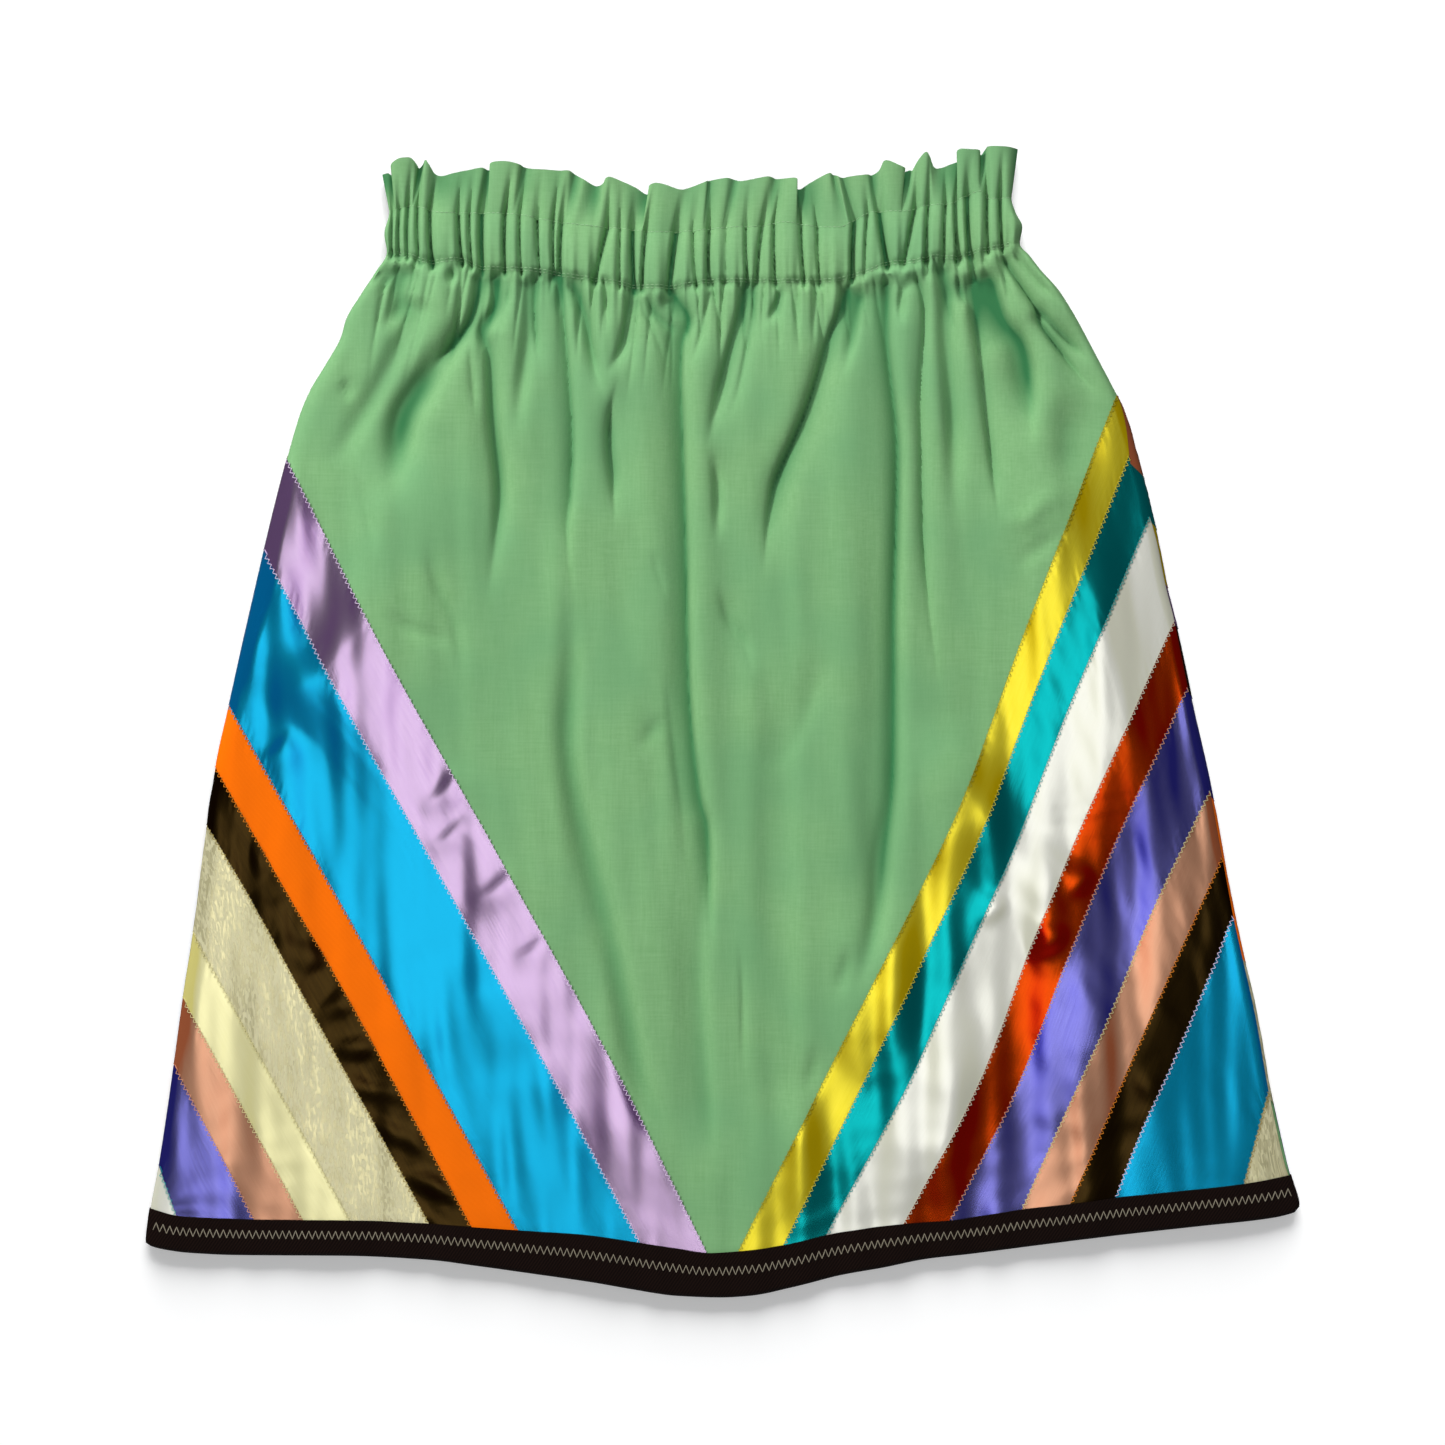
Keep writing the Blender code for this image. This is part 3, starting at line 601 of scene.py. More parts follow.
@dataclass(frozen=True)
class SkirtForm:
    """The laid skirt's shape: its outline, seams, heights and folds."""

    back_z: float = 2.6
    least_back_z: float = 1.3
    side_fold_z: float = 4.8
    least_front_z: float = 3.6
    pinch_z: float = 8.4
    body_z: float = 10.2
    hem_z: float = 7.0
    puff: float = 1.4
    pinch_run: float = 9.0
    crease_depth: float = 2.2
    fold_shade_least: float = 0.9
    fold_shade_full: float = 7.5
    gather: float = 0.9
    gather_run: float = 16.0
    slit_margin: float = 6.0
    slit_depth: float = 1.15
    left_roll: float = 12.0
    right_roll: float = 7.5
    waist_roll: float = 5.5
    back_roll: float = 7.0
    softness: float = 0.7
    probe: float = 0.8
    left: SmoothLine = LEFT_SIDE
    right: SmoothLine = RIGHT_SIDE
    lower_seam: SmoothLine = LOWER_SEAM
    upper_seam: SmoothLine = UPPER_SEAM
    tape_top: SmoothLine = TAPE_TOP
    tape_bottom: SmoothLine = TAPE_BOTTOM
    seam_inset: SmoothLine = SEAM_INSET
    front_creases: tuple[Crease, ...] = PANEL_CREASES
    back_creases: tuple[Crease, ...] = ()

    @cached_property
    def front_folds(self) -> Relief:
        """The front's creases, between which the cloth keeps its mean height."""
        return Relief(self.front_creases, 20.0, 45.0)

    @cached_property
    def front_swells(self) -> Relief:
        """The low swells under the front's ribbons."""
        return Relief(RIBBON_SWELLS, 0.0, 0.0)

    @cached_property
    def back_folds(self) -> Relief:
        """The back's creases."""
        return Relief(self.back_creases, 0.0, 0.0)

    def slit_creases(self) -> tuple[Crease, ...]:
        """The casing's slits as creases between its two seams, a little past each."""
        found = []
        for slit in CASING_SLITS:
            high = float(self.upper_seam(slit.top_x)) + self.slit_margin
            low = float(self.lower_seam(slit.low_x)) - self.slit_margin
            middle = (0.5 * (slit.top_x + slit.low_x) - 0.6, 0.5 * (high + low))
            path = ((slit.top_x, high), middle, (slit.low_x, low))
            depth = self.slit_depth * slit.depth
            widths = 0.6 * slit.left, 0.75 * slit.right
            found.append(Crease(depth, *widths, SHARP, path, 5.0, 0.12, valley=0.1))
        return tuple(found)

    def front_height(self, x: Array, y: Array) -> Array:
        """The outer face of the front, before its sides roll over.

        Args:
            x: Places across.
            y: Places along.

        Returns:
            The height of each place, in mm.
        """
        below = self.lower_seam(x) - y
        span = self.upper_seam(x) - self.lower_seam(x)
        share = np.clip(-below / span, 0.0, 1.0)
        body = self.body_z + (self.hem_z - self.body_z) * smoothstep((below - 150.0) / 420.0)
        rise = 1.0 - np.exp(-np.maximum(below, 0.0) / self.pinch_run)
        panel = self.pinch_z + (body - self.pinch_z) * rise
        casing = self.pinch_z + self.puff * np.sin(math.pi * share)
        height = np.where(below > 0.0, panel, casing)
        height = height + self.crease_depth * self.front_folds(x, y) + self.front_swells(x, y)
        height = height + 0.16 * COTTON_RIPPLE(x, y) + 0.8 * DRAPE_RIPPLE(x, y)
        near_seam = np.exp(-np.abs(below) / self.gather_run)
        height = height + self.gather * near_seam * GATHER_RIPPLE(x, 0.15 * y)
        over = (height - self.least_front_z) / self.softness
        return self.least_front_z + self.softness * np.logaddexp(0.0, over)

    def fold_shade_share(self, x: Array, y: Array) -> Array:
        """Painted fold shade of each place on the front: 0 on open cloth and 1 at a fold's bottom.
        """
        depth = -self.crease_depth * self.front_folds(x, y)
        return np.clip((depth - self.fold_shade_least) / self.fold_shade_full, 0.0, 1.0) ** 1.2

    def back_height(self, x: Array, y: Array) -> Array:
        """The outer face of the back, which lies on the surface with small folds pressed up."""
        height = self.back_z - self.back_folds(x, y)
        return np.clip(height, self.least_back_z, self.least_front_z - 0.4)

    def roll(self, x: Array, y: Array, side: Side) -> Array:
        """How far the cloth is from its side folds: 0 on a fold and 1 past the roll."""
        waist = smoothstep((y - 190.0) / 80.0)
        total = np.ones(np.broadcast(x, y).shape)
        gaps = ((x - self.left(y), self.left_roll), (self.right(y) - x, self.right_roll))
        for gap, radius in gaps:
            if side is Side.BACK:
                radius = self.back_roll
            run = radius + (self.waist_roll - radius) * waist
            share = np.clip(gap / run, 0.0, 1.0)
            total = total * np.sqrt(np.maximum(1.0 - (1.0 - share) ** 2, 0.0))
        return total

    def height(self, x: Array, y: Array, side: Side) -> Array:
        """The outer face's height on one side of the skirt, with its sides rolled over."""
        flat = self.front_height(x, y) if side is Side.FRONT else self.back_height(x, y)
        return self.side_fold_z + (flat - self.side_fold_z) * self.roll(x, y, side)

    def skin(self, x: Array, y: Array, side: Side, lift: Array | float = 0.0) -> Array:
        """Points on the skirt's outer face, or lifted off it.

        Args:
            x: Places across. On the back they may run past the right fold, onto the front.
            y: Places along, of the same shape as x.
            side: The face that they are on.
            lift: How far out of the skirt the points go.

        Returns:
            The points, with X, Y and Z along the last axis.
        """
        left, right = self.left(y), self.right(y)
        over = (x > right) & (side is Side.BACK)
        place = np.clip(np.where(over, 2 * right - x, x), left, right)
        front = over | (side is Side.FRONT)
        before = np.clip(place - self.probe, left, right)
        after = np.clip(place + self.probe, left, right)

        def read(across: Array, along: Array) -> Array:
            own = self.height(across, along, side)
            if not over.any():
                return own
            return np.where(over, self.height(across, along, Side.FRONT), own)

        z = read(place, y)
        slope_x = (read(after, y) - read(before, y)) / (after - before)
        slope_y = (read(place, y + self.probe) - read(place, y - self.probe)) / (2 * self.probe)
        size = np.sqrt(slope_x**2 + slope_y**2 + 1.0)
        out = np.where(front, 1.0, -1.0) / size
        return np.stack(
            [
                place - lift * slope_x * out,
                y - lift * slope_y * out,
                z + lift * out,
            ],
            axis=-1,
        )


# Fine waves of the whole cloth, slow ones that hang down it, those of the gathered seam, and
# those that a row of stitches draws up along a ribbon's edge
COTTON_RIPPLE = Ripple(11, 17.0, 90.0)
DRAPE_RIPPLE = Ripple(17, 40.0, 420.0)
GATHER_RIPPLE = Ripple(4, 7.0, 60.0)
EDGE_RIPPLE = Ripple(9, 9.0, 14.0)


def linear(colour: str) -> tuple[float, float, float, float]:
    """An sRGB hex colour, such as 84B383, as linear values with an alpha of 1."""
    found = []
    for start in (0, 2, 4):
        value = int(colour[start : start + 2], 16) / 255
        low = value / 12.92
        high = ((value + 0.055) / 1.055) ** 2.4
        found.append(low if value <= 0.04045 else high)
    return (*found, 1.0)


def add_node(
    tree: bpy.types.NodeTree, kind: str, inputs: dict, **settings: object
) -> bpy.types.Node:
    """Adds one node with its settings and links.

    Args:
        tree: The node tree.
        kind: The node's type, without the words ShaderNode.
        inputs: Values for its inputs, by name or number. An output socket is linked.
        settings: The node's own properties.

    Returns:
        The node.
    """
    node = tree.nodes.new("ShaderNode" + kind)
    for name, value in settings.items():
        setattr(node, name, value)
    for name, value in inputs.items():
        if isinstance(value, bpy.types.NodeSocket):
            tree.links.new(value, node.inputs[name])
        else:
            node.inputs[name].default_value = value
    return node


def new_material(name: str) -> tuple[bpy.types.Material, bpy.types.NodeTree]:
    """An empty node material and its tree."""
    made = bpy.data.materials.new(name)
    made.use_nodes = True
    made.node_tree.nodes.clear()
    return made, made.node_tree


def finish_tree(tree: bpy.types.NodeTree, shader: bpy.types.Node) -> None:
    """Links a shader to the material's output."""
    add_node(tree, "OutputMaterial", {"Surface": shader.outputs["BSDF"]})


def mixed(
    tree: bpy.types.NodeTree, share: bpy.types.NodeSocket, first: object, second: object
) -> bpy.types.NodeSocket:
    """Mixes two colours.

    Args:
        tree: The node tree.
        share: The share of the second one.
        first: A colour or an output socket.
        second: The same, for the second one.

    Returns:
        The mixed colour's socket.
    """
    node = add_node(tree, "Mix", {0: share, 6: first, 7: second}, data_type="RGBA")
    return node.outputs[2]


@dataclass(frozen=True)
class Cotton:
    """Plain woven cotton, dyed in the piece: matte, with faint slubs along its length.

    Inside a fold it is painted a darker green, as shade: there the light has come off green cloth.
    """

    name: str = "woven_cotton_green"
    lit: str = "80AF7A"
    shade: str = "74A46E"
    tint: str = "6CA070"
    # The darker green that is painted into folds as shade.
    deep: str = "38764A"
    roughness: float = 0.95
    slub_width: float = 1.1
    slub_length: float = 20.0
    thread_pitch: float = 1.3
    tint_patch: float = 70.0

    def build(self) -> bpy.types.Material:
        """Makes the material.

        The threads are about 0.3 mm apart in the cloth. They are drawn 1.3 mm apart, because a
        finer weave doesn't show at this size.
        """
        made, tree = new_material(self.name)
        place = add_node(tree, "TexCoord", {}).outputs["Object"]
        across, along = 1 / (self.slub_width * MM), 1 / (self.slub_length * MM)
        drawn = add_node(tree, "Mapping", {"Vector": place, "Scale": (across, along, across)})
        slub = add_node(
            tree, "TexNoise", {"Vector": drawn.outputs[0], "Scale": 1.0, "Detail": 3.0}
        )
        turned = add_node(tree, "Mapping", {"Vector": place, "Scale": (along, across, across)})
        weft = add_node(
            tree, "TexNoise", {"Vector": turned.outputs[0], "Scale": 1.0, "Detail": 3.0}
        )
        patch = add_node(
            tree, "TexNoise", {"Vector": place, "Scale": 1 / (self.tint_patch * MM), "Detail": 2.0}
        )
        yarns = add_node(
            tree, "Math", {0: slub.outputs[0], 1: weft.outputs[0]}, operation="ADD"
        )
        soft = add_node(
            tree, "MapRange", {"Value": yarns.outputs[0], "From Min": 0.65, "From Max": 1.4}
        )
        body = mixed(tree, soft.outputs[0], linear(self.lit), linear(self.shade))
        spread = add_node(
            tree,
            "MapRange",
            {"Value": patch.outputs[0], "From Min": 0.4, "From Max": 0.65, "To Max": 0.6},
        )
        colour = mixed(tree, spread.outputs[0], body, linear(self.tint))
        # Painted shade: by the mesh's fold attribute the colour turns towards the darker green,
        # most at a fold's bottom.
        fold = add_node(tree, "Attribute", {}, attribute_name="fold").outputs["Fac"]
        colour = mixed(tree, fold, colour, linear(self.deep))
        pitch = 1 / (self.thread_pitch * MM)
        threads = add_node(tree, "Mapping", {"Vector": place, "Scale": (pitch, pitch, pitch)})
        weave = add_node(
            tree, "TexNoise", {"Vector": threads.outputs[0], "Scale": 1.0, "Detail": 2.0}
        )
        bump = add_node(
            tree, "Bump", {"Height": weave.outputs[0], "Strength": 0.22, "Distance": 0.0003}
        )
        bump = add_node(
            tree,
            "Bump",
            {
                "Height": yarns.outputs[0],
                "Strength": 0.07,
                "Distance": 0.0004,
                "Normal": bump.outputs[0],
            },
        )
        shader = add_node(
            tree,
            "BsdfPrincipled",
            {
                "Base Color": colour,
                "Roughness": self.roughness,
                "Specular IOR Level": 0.08,
                "Normal": bump.outputs[0],
            },
        )
        finish_tree(tree, shader)
        return made


def saturated_shade(colour: tuple[float, ...]) -> tuple[float, ...]:
    """A linear colour, at full strength, with its weaker channels lowered further: satin's painted
    shade.
    """
    most = max(colour[:3])
    return tuple(part * (part / most) ** 0.7 for part in colour[:3]) + (1.0,)


@dataclass(frozen=True)
class Satin:
    """Polyester satin ribbon: long floats along it give a coloured, silky gloss.

    Where a part tilts from level, its colour turns darker and more saturated: painted shade.
    """

    name: str
    lit: str
    # The deep colour, made darker and more saturated, is also the painted shade of tilted parts.
    deep: str
    gloss: float
    roughness: float = 0.26
    float_width: float = 0.9
    float_length: float = 30.0

    def build(self) -> bpy.types.Material:
        """Makes the material, with its floats drawn along the ribbon by its UV map."""
        made, tree = new_material(self.name)
        place = add_node(tree, "TexCoord", {}).outputs["UV"]
        across, along = 1 / (self.float_width * MM), 1 / (self.float_length * MM)
        drawn = add_node(tree, "Mapping", {"Vector": place, "Scale": (across, along, 1.0)})
        floats = add_node(
            tree, "TexNoise", {"Vector": drawn.outputs[0], "Scale": 1.0, "Detail": 2.0}
        )
        flat = mixed(tree, floats.outputs[0], linear(self.lit), linear(self.deep))
        # Painted shade: where the surface tilts away from level, the colour is mixed towards a
        # darker, more saturated one.
        normal = add_node(tree, "NewGeometry", {}).outputs["Normal"]
        rise = add_node(tree, "SeparateXYZ", {0: normal}).outputs["Z"]
        level = add_node(tree, "Math", {0: rise}, operation="ABSOLUTE")
        tilt_shade = add_node(
            tree,
            "MapRange",
            {
                "Value": level.outputs[0],
                "From Min": 0.997,
                "From Max": 0.97,
                "To Min": 0.0,
                "To Max": 1.0,
            },
        )
        colour = mixed(tree, tilt_shade.outputs[0], flat, saturated_shade(linear(self.deep)))
        bump = add_node(
            tree, "Bump", {"Height": floats.outputs[0], "Strength": 0.12, "Distance": 0.0002}
        )
        shader = add_node(
            tree,
            "BsdfPrincipled",
            {
                "Base Color": colour,
                "Metallic": self.gloss,
                "Roughness": self.roughness,
                "Specular IOR Level": 0.35,
                "Normal": bump.outputs[0],
            },
        )
        finish_tree(tree, shader)
        return made


@dataclass(frozen=True)
class Grosgrain:
    """Ribbed polyester ribbon: fine ribs across it scatter the light, so it looks matte."""

    name: str
    lit: str
    deep: str
    rib_pitch: float = 1.1

    def build(self) -> bpy.types.Material:
        """Makes the material.

        The ribs are about 0.6 mm apart on the ribbon, and are drawn 1.1 mm apart to show.
        """
        made, tree = new_material(self.name)
        place = add_node(tree, "TexCoord", {}).outputs["UV"]
        ribs = add_node(
            tree,
            "TexWave",
            {"Vector": place, "Scale": 0.314 / (self.rib_pitch * MM), "Distortion": 0.3},
            bands_direction="Y",
        )
        colour = mixed(tree, ribs.outputs["Fac"], linear(self.deep), linear(self.lit))
        bump = add_node(
            tree, "Bump", {"Height": ribs.outputs["Fac"], "Strength": 0.3, "Distance": 0.0002}
        )
        shader = add_node(
            tree,
            "BsdfPrincipled",
            {
                "Base Color": colour,
                "Roughness": 0.75,
                "Specular IOR Level": 0.25,
                "Normal": bump.outputs[0],
            },
        )
        finish_tree(tree, shader)
        return made


@dataclass(frozen=True)
class Lame:
    """Lamé ribbon: flat metal-coated yarns that glitter in small grains."""

    name: str
    lit: str
    deep: str
    grain: float = 1.9

    def build(self) -> bpy.types.Material:
        """Makes the material. The grains are about 0.5 mm wide, and are drawn coarser to show."""
        made, tree = new_material(self.name)
        place = add_node(tree, "TexCoord", {}).outputs["UV"]
        grains = add_node(
            tree,
            "TexVoronoi",
            {"Vector": place, "Scale": 1 / (self.grain * MM)},
            feature="F1",
        )
        grey = add_node(tree, "RGBToBW", {"Color": grains.outputs["Color"]})
        flat = add_node(
            tree, "MapRange", {"Value": grey.outputs[0], "From Min": 0.28, "From Max": 0.72}
        )
        colour = mixed(tree, flat.outputs[0], linear(self.deep), linear(self.lit))
        rough = add_node(
            tree, "MapRange", {"Value": flat.outputs[0], "To Min": 0.28, "To Max": 0.6}
        )
        bump = add_node(
            tree, "Bump", {"Height": flat.outputs[0], "Strength": 0.8, "Distance": 0.0004}
        )
        shader = add_node(
            tree,
            "BsdfPrincipled",
            {
                "Base Color": colour,
                "Metallic": 0.6,
                "Roughness": rough.outputs[0],
                "Normal": bump.outputs[0],
            },
        )
        finish_tree(tree, shader)
        return made


@dataclass(frozen=True)
class Twill:
    """Woven twill tape: a dense matte tape with a fine slanting rib."""

    name: str = "twill_tape_dark"
    lit: str = "1B100C"
    deep: str = "080303"
    rib_pitch: float = 1.6

    def build(self) -> bpy.types.Material:
        """Makes the material. Its ribs are about 0.7 mm apart, and are drawn coarser to show."""
        made, tree = new_material(self.name)
        place = add_node(tree, "TexCoord", {}).outputs["Object"]
        turned = add_node(
            tree, "Mapping", {"Vector": place, "Rotation": (0.0, 0.0, math.radians(35.0))}
        )
        ribs = add_node(
            tree,
            "TexWave",
            {"Vector": turned.outputs[0], "Scale": 0.314 / (self.rib_pitch * MM)},
        )
        colour = mixed(tree, ribs.outputs["Fac"], linear(self.deep), linear(self.lit))
        bump = add_node(
            tree, "Bump", {"Height": ribs.outputs["Fac"], "Strength": 0.25, "Distance": 0.0002}
        )
        shader = add_node(
            tree,
            "BsdfPrincipled",
            {
                "Base Color": colour,
                "Roughness": 0.85,
                "Specular IOR Level": 0.15,
                "Normal": bump.outputs[0],
            },
        )
        finish_tree(tree, shader)
        return made


@dataclass(frozen=True)
class Thread:
    """Spun polyester sewing thread: a soft twisted yarn with little gloss."""

    name: str
    colour: str
    shade: str

    def build(self) -> bpy.types.Material:
        """Makes the material, a little uneven along each stitch."""
        made, tree = new_material(self.name)
        place = add_node(tree, "TexCoord", {}).outputs["Object"]
        twist = add_node(tree, "TexNoise", {"Vector": place, "Scale": 900.0, "Detail": 1.0})
        colour = mixed(tree, twist.outputs[0], linear(self.colour), linear(self.shade))
        shader = add_node(
            tree,
            "BsdfPrincipled",
            {"Base Color": colour, "Roughness": 0.7, "Specular IOR Level": 0.3},
        )
        finish_tree(tree, shader)
        return made


FINISHES = {
    "lilac_satin": Satin("satin_lilac", "C6ACCC", "B89CC4", 0.9),
    "blue_satin": Satin("satin_blue", "08A8D4", "00A0CC", 0.75),
    "orange_matte": Grosgrain("grosgrain_orange", "F57200", "E86400"),
    "brown_satin": Satin("satin_brown", "42300E", "261A06", 0.92),
    "gold_lame": Lame("lame_gold", "FFF9CC", "E0D8A6"),
    "cream_satin": Satin("satin_cream", "F0EBB4", "E8E2A8", 0.45),
    "peach_satin": Satin("satin_peach", "DCA482", "D09474", 0.7),
    "periwinkle_satin": Satin("satin_periwinkle", "8482D2", "6C6AC2", 0.9),
    "ivory_satin": Satin("satin_ivory", "EAEAE0", "E2E2D6", 0.35),
    "yellow_satin": Satin("satin_yellow", "EEDE3E", "DECC1C", 0.66),
    "teal_satin": Satin("satin_teal", "0CAEB0", "00A2A4", 0.92),
    "rust_satin": Satin("satin_rust", "DC4C00", "C83C00", 0.9),
}


def grid_mesh(
    name: str, points: Array, flip: bool = False, rim: float = 0.0, ends: bool = False
) -> bpy.types.Mesh:
    """A mesh of quads through a grid of points, with UVs that follow the cloth in metres.

    Args:
        name: The mesh's name.
        points: Rows of points in mm.
        flip: Whether the faces turn the other way.
        rim: How far the grid's edges are turned in under it, in mm. 0 leaves them bare.
        ends: Whether the first and last rows are turned in, instead of the columns.

    Returns:
        The mesh, in metres.
    """
    if rim:
        points = with_rim(points, -rim if flip else rim, ends)
    rows, columns = points.shape[:2]
    index = np.arange(rows * columns).reshape(rows, columns)
    corners = [index[:-1, :-1], index[1:, :-1], index[1:, 1:], index[:-1, 1:]]
    faces = np.stack([corner.ravel() for corner in corners], axis=-1)
    if flip:
        faces = faces[:, ::-1]
    across = np.linalg.norm(np.diff(points, axis=1), axis=-1)
    along = np.linalg.norm(np.diff(points, axis=0), axis=-1)
    u = np.concatenate([np.zeros((rows, 1)), np.cumsum(across, axis=1)], axis=1)
    v = np.concatenate([np.zeros((1, columns)), np.cumsum(along, axis=0)], axis=0)
    places = np.stack([u.ravel(), v.ravel()], axis=-1) * MM
    return face_mesh(name, points.reshape(-1, 3), faces, places)


def with_rim(points: Array, rim: float, ends: bool) -> Array:
    """Turns two edges of a grid in under it.

    Args:
        points: Rows of points in mm.
        rim: How far they are turned in.
        ends: Whether the first and last rows are, instead of the columns.

    Returns:
        The grid with one more row or column at both edges.
    """
    slope_v, slope_u = np.gradient(points, axis=(0, 1))
    normal = np.cross(slope_u, slope_v)
    normal /= np.maximum(np.linalg.norm(normal, axis=-1, keepdims=True), 1e-9)
    turned = points + normal * rim
    if ends:
        return np.concatenate([turned[:1], points, turned[-1:]], axis=0)
    return np.concatenate([turned[:, :1], points, turned[:, -1:]], axis=1)


def face_mesh(name: str, points: Array, faces: Array, places: Array | None) -> bpy.types.Mesh:
    """Makes a smooth mesh.

    Args:
        name: Its name.
        points: Its points in mm.
        faces: The four points of each face.
        places: The points' UVs in metres, if it has any.

    Returns:
        The mesh, in metres.
    """
    mesh = bpy.data.meshes.new(name)
    mesh.vertices.add(len(points))
    mesh.vertices.foreach_set("co", (points * MM).astype(np.float32).ravel())
    mesh.loops.add(faces.size)
    mesh.loops.foreach_set("vertex_index", faces.astype(np.int32).ravel())
    mesh.polygons.add(len(faces))
    mesh.polygons.foreach_set("loop_start", np.arange(0, faces.size, 4, dtype=np.int32))
    mesh.update(calc_edges=True)
    if places is not None:
        layer = mesh.uv_layers.new(name="cloth")
        layer.uv.foreach_set("vector", places[faces.ravel()].astype(np.float32).ravel())
    mesh.shade_smooth()
    mesh.set_sharp_from_angle(angle=SHARP_ANGLE)
    return mesh


def add_fold_shade(mesh: bpy.types.Mesh, shares: Array) -> None:
    """Stores each of the mesh's points' share of painted fold shade, by how deep in a fold it is.
    """
    layer = mesh.attributes.new(name="fold", type="FLOAT", domain="POINT")
    layer.data.foreach_set("value", shares.astype(np.float32).ravel())


def add_piece(mesh: bpy.types.Mesh, material: bpy.types.Material) -> bpy.types.Object:
    """Puts a mesh in the scene as a piece that rides with the skirt.

    Args:
        mesh: The mesh.
        material: Its material.

    Returns:
        The piece.
    """
    mesh.materials.append(material)
    piece = bpy.data.objects.new(mesh.name, mesh)
    bpy.context.collection.objects.link(piece)
    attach(piece, BODY)
    LOG.info("%s: %d faces", piece.name, len(mesh.polygons))
    return piece


def spaced(count: int, ease: float) -> Array:
    """Shares from 0 to 1, closer together near 0 where there is an ease."""
    even = np.linspace(0.0, 1.0, count)
    return even - ease * np.sin(math.pi * even) / math.pi


@dataclass(frozen=True)
class Body:
    """A side's panel, whole under its ribbons, from the casing's seam into the hem tape."""

    form: SkirtForm
    side: Side
    material: bpy.types.Material
    columns: int
    rows: int
    turn_columns: int = 9
    into_tape: float = 6.0
    into_casing: float = 1.2
    ease: float = 1.45
    hem_width: float = 690.0
    waist_width: float = 520.0
    length: float = 600.0

    def across(self, y: Array) -> Array:
        """Places across the panel at each level, closer together where the sides roll over."""
        form = self.form
        left, right = form.left(y), form.right(y)
        turns = 1.0 - np.cos(np.linspace(0.0, math.pi / 2, self.turn_columns))
        run_left, run_right = form.left_roll, form.right_roll
        inset = form.seam_inset(y)
        middle = np.linspace(0.0, 1.0, self.columns)[1:-1]
        span = (right - run_right) - (left + run_left)
        parts = [left + run_left * turn for turn in turns]
        parts += [left + run_left + span * share for share in middle]
        if self.side is Side.FRONT:
            parts += [right - inset - (run_right - inset) * turn for turn in turns[::-1]]
        else:
            parts += [right - run_right * turn for turn in turns[::-1]]
            parts += [right + inset * share for share in (0.25, 0.6, 1.0)]
        return np.stack(parts, axis=-1)

    def build(self) -> bpy.types.Object:
        """Makes the panel."""
        form = self.form
        levels = np.linspace(0.0, 1.0, self.rows)[:, None] ** self.ease
        x = self.across(np.zeros(1)) * (1.0 - levels) * 0.55 + self.across(np.zeros(1)) * levels
        for _ in range(6):
            top = form.lower_seam(x) + self.into_casing
            y = top + (form.tape_top(x) - self.into_tape - top) * levels
            for column in range(y.shape[1]):
                x[:, column] = self.across(y[:, column])[:, column]
        sunk = 0.3 * (levels <= 0.0)
        points = form.skin(x, y, self.side, -sunk)
        mesh = grid_mesh(f"{self.side.value}_body", points, flip=self.side is Side.BACK)
        # Painted shade: the front panel's folds get their share of the darker green.
        if self.side is Side.FRONT:
            add_fold_shade(mesh, form.fold_shade_share(x, y))
        piece = add_piece(mesh, self.material)
        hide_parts(f"{self.side.value}_panel")
        return piece


@dataclass(frozen=True)
class Casing:
    """The tunnel for the elastic, puffed between its two seams and gathered into slits."""

    form: SkirtForm
    side: Side
    material: bpy.types.Material
    columns: int = 560
    rows: int = 30
    flat_width: float = 430.0
    flat_length: float = 34.0

    def build(self) -> bpy.types.Object:
        """Makes one side of the casing."""
        form = self.form
        turn = 0.5 - 0.5 * np.cos(np.linspace(0.0, math.pi, self.columns))
        share = 0.35 * turn + 0.65 * np.linspace(0.0, 1.0, self.columns)
        levels = np.linspace(0.0, 1.0, self.rows)[:, None]
        y = np.full((self.rows, self.columns), 295.0)
        for _ in range(6):
            x = form.left(y) + share * (form.right(y) - form.left(y))
            y = form.upper_seam(x) + (form.lower_seam(x) - form.upper_seam(x)) * levels
        points = form.skin(x, y, self.side)
        mesh = grid_mesh(f"{self.side.value}_casing", points, flip=self.side is Side.BACK)
        # Painted shade: the casing's slits and folds get their share of the darker green.
        if self.side is Side.FRONT:
            add_fold_shade(mesh, form.fold_shade_share(x, y))
        piece = add_piece(mesh, self.material)
        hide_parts(f"casing_{self.side.value}")
        return piece


@dataclass(frozen=True)
class Lip:
    """A point of the ruffle's folded top edge, and the place on the seam that it rises from."""

    x: float
    y: float
    z: float
    seam_x: float


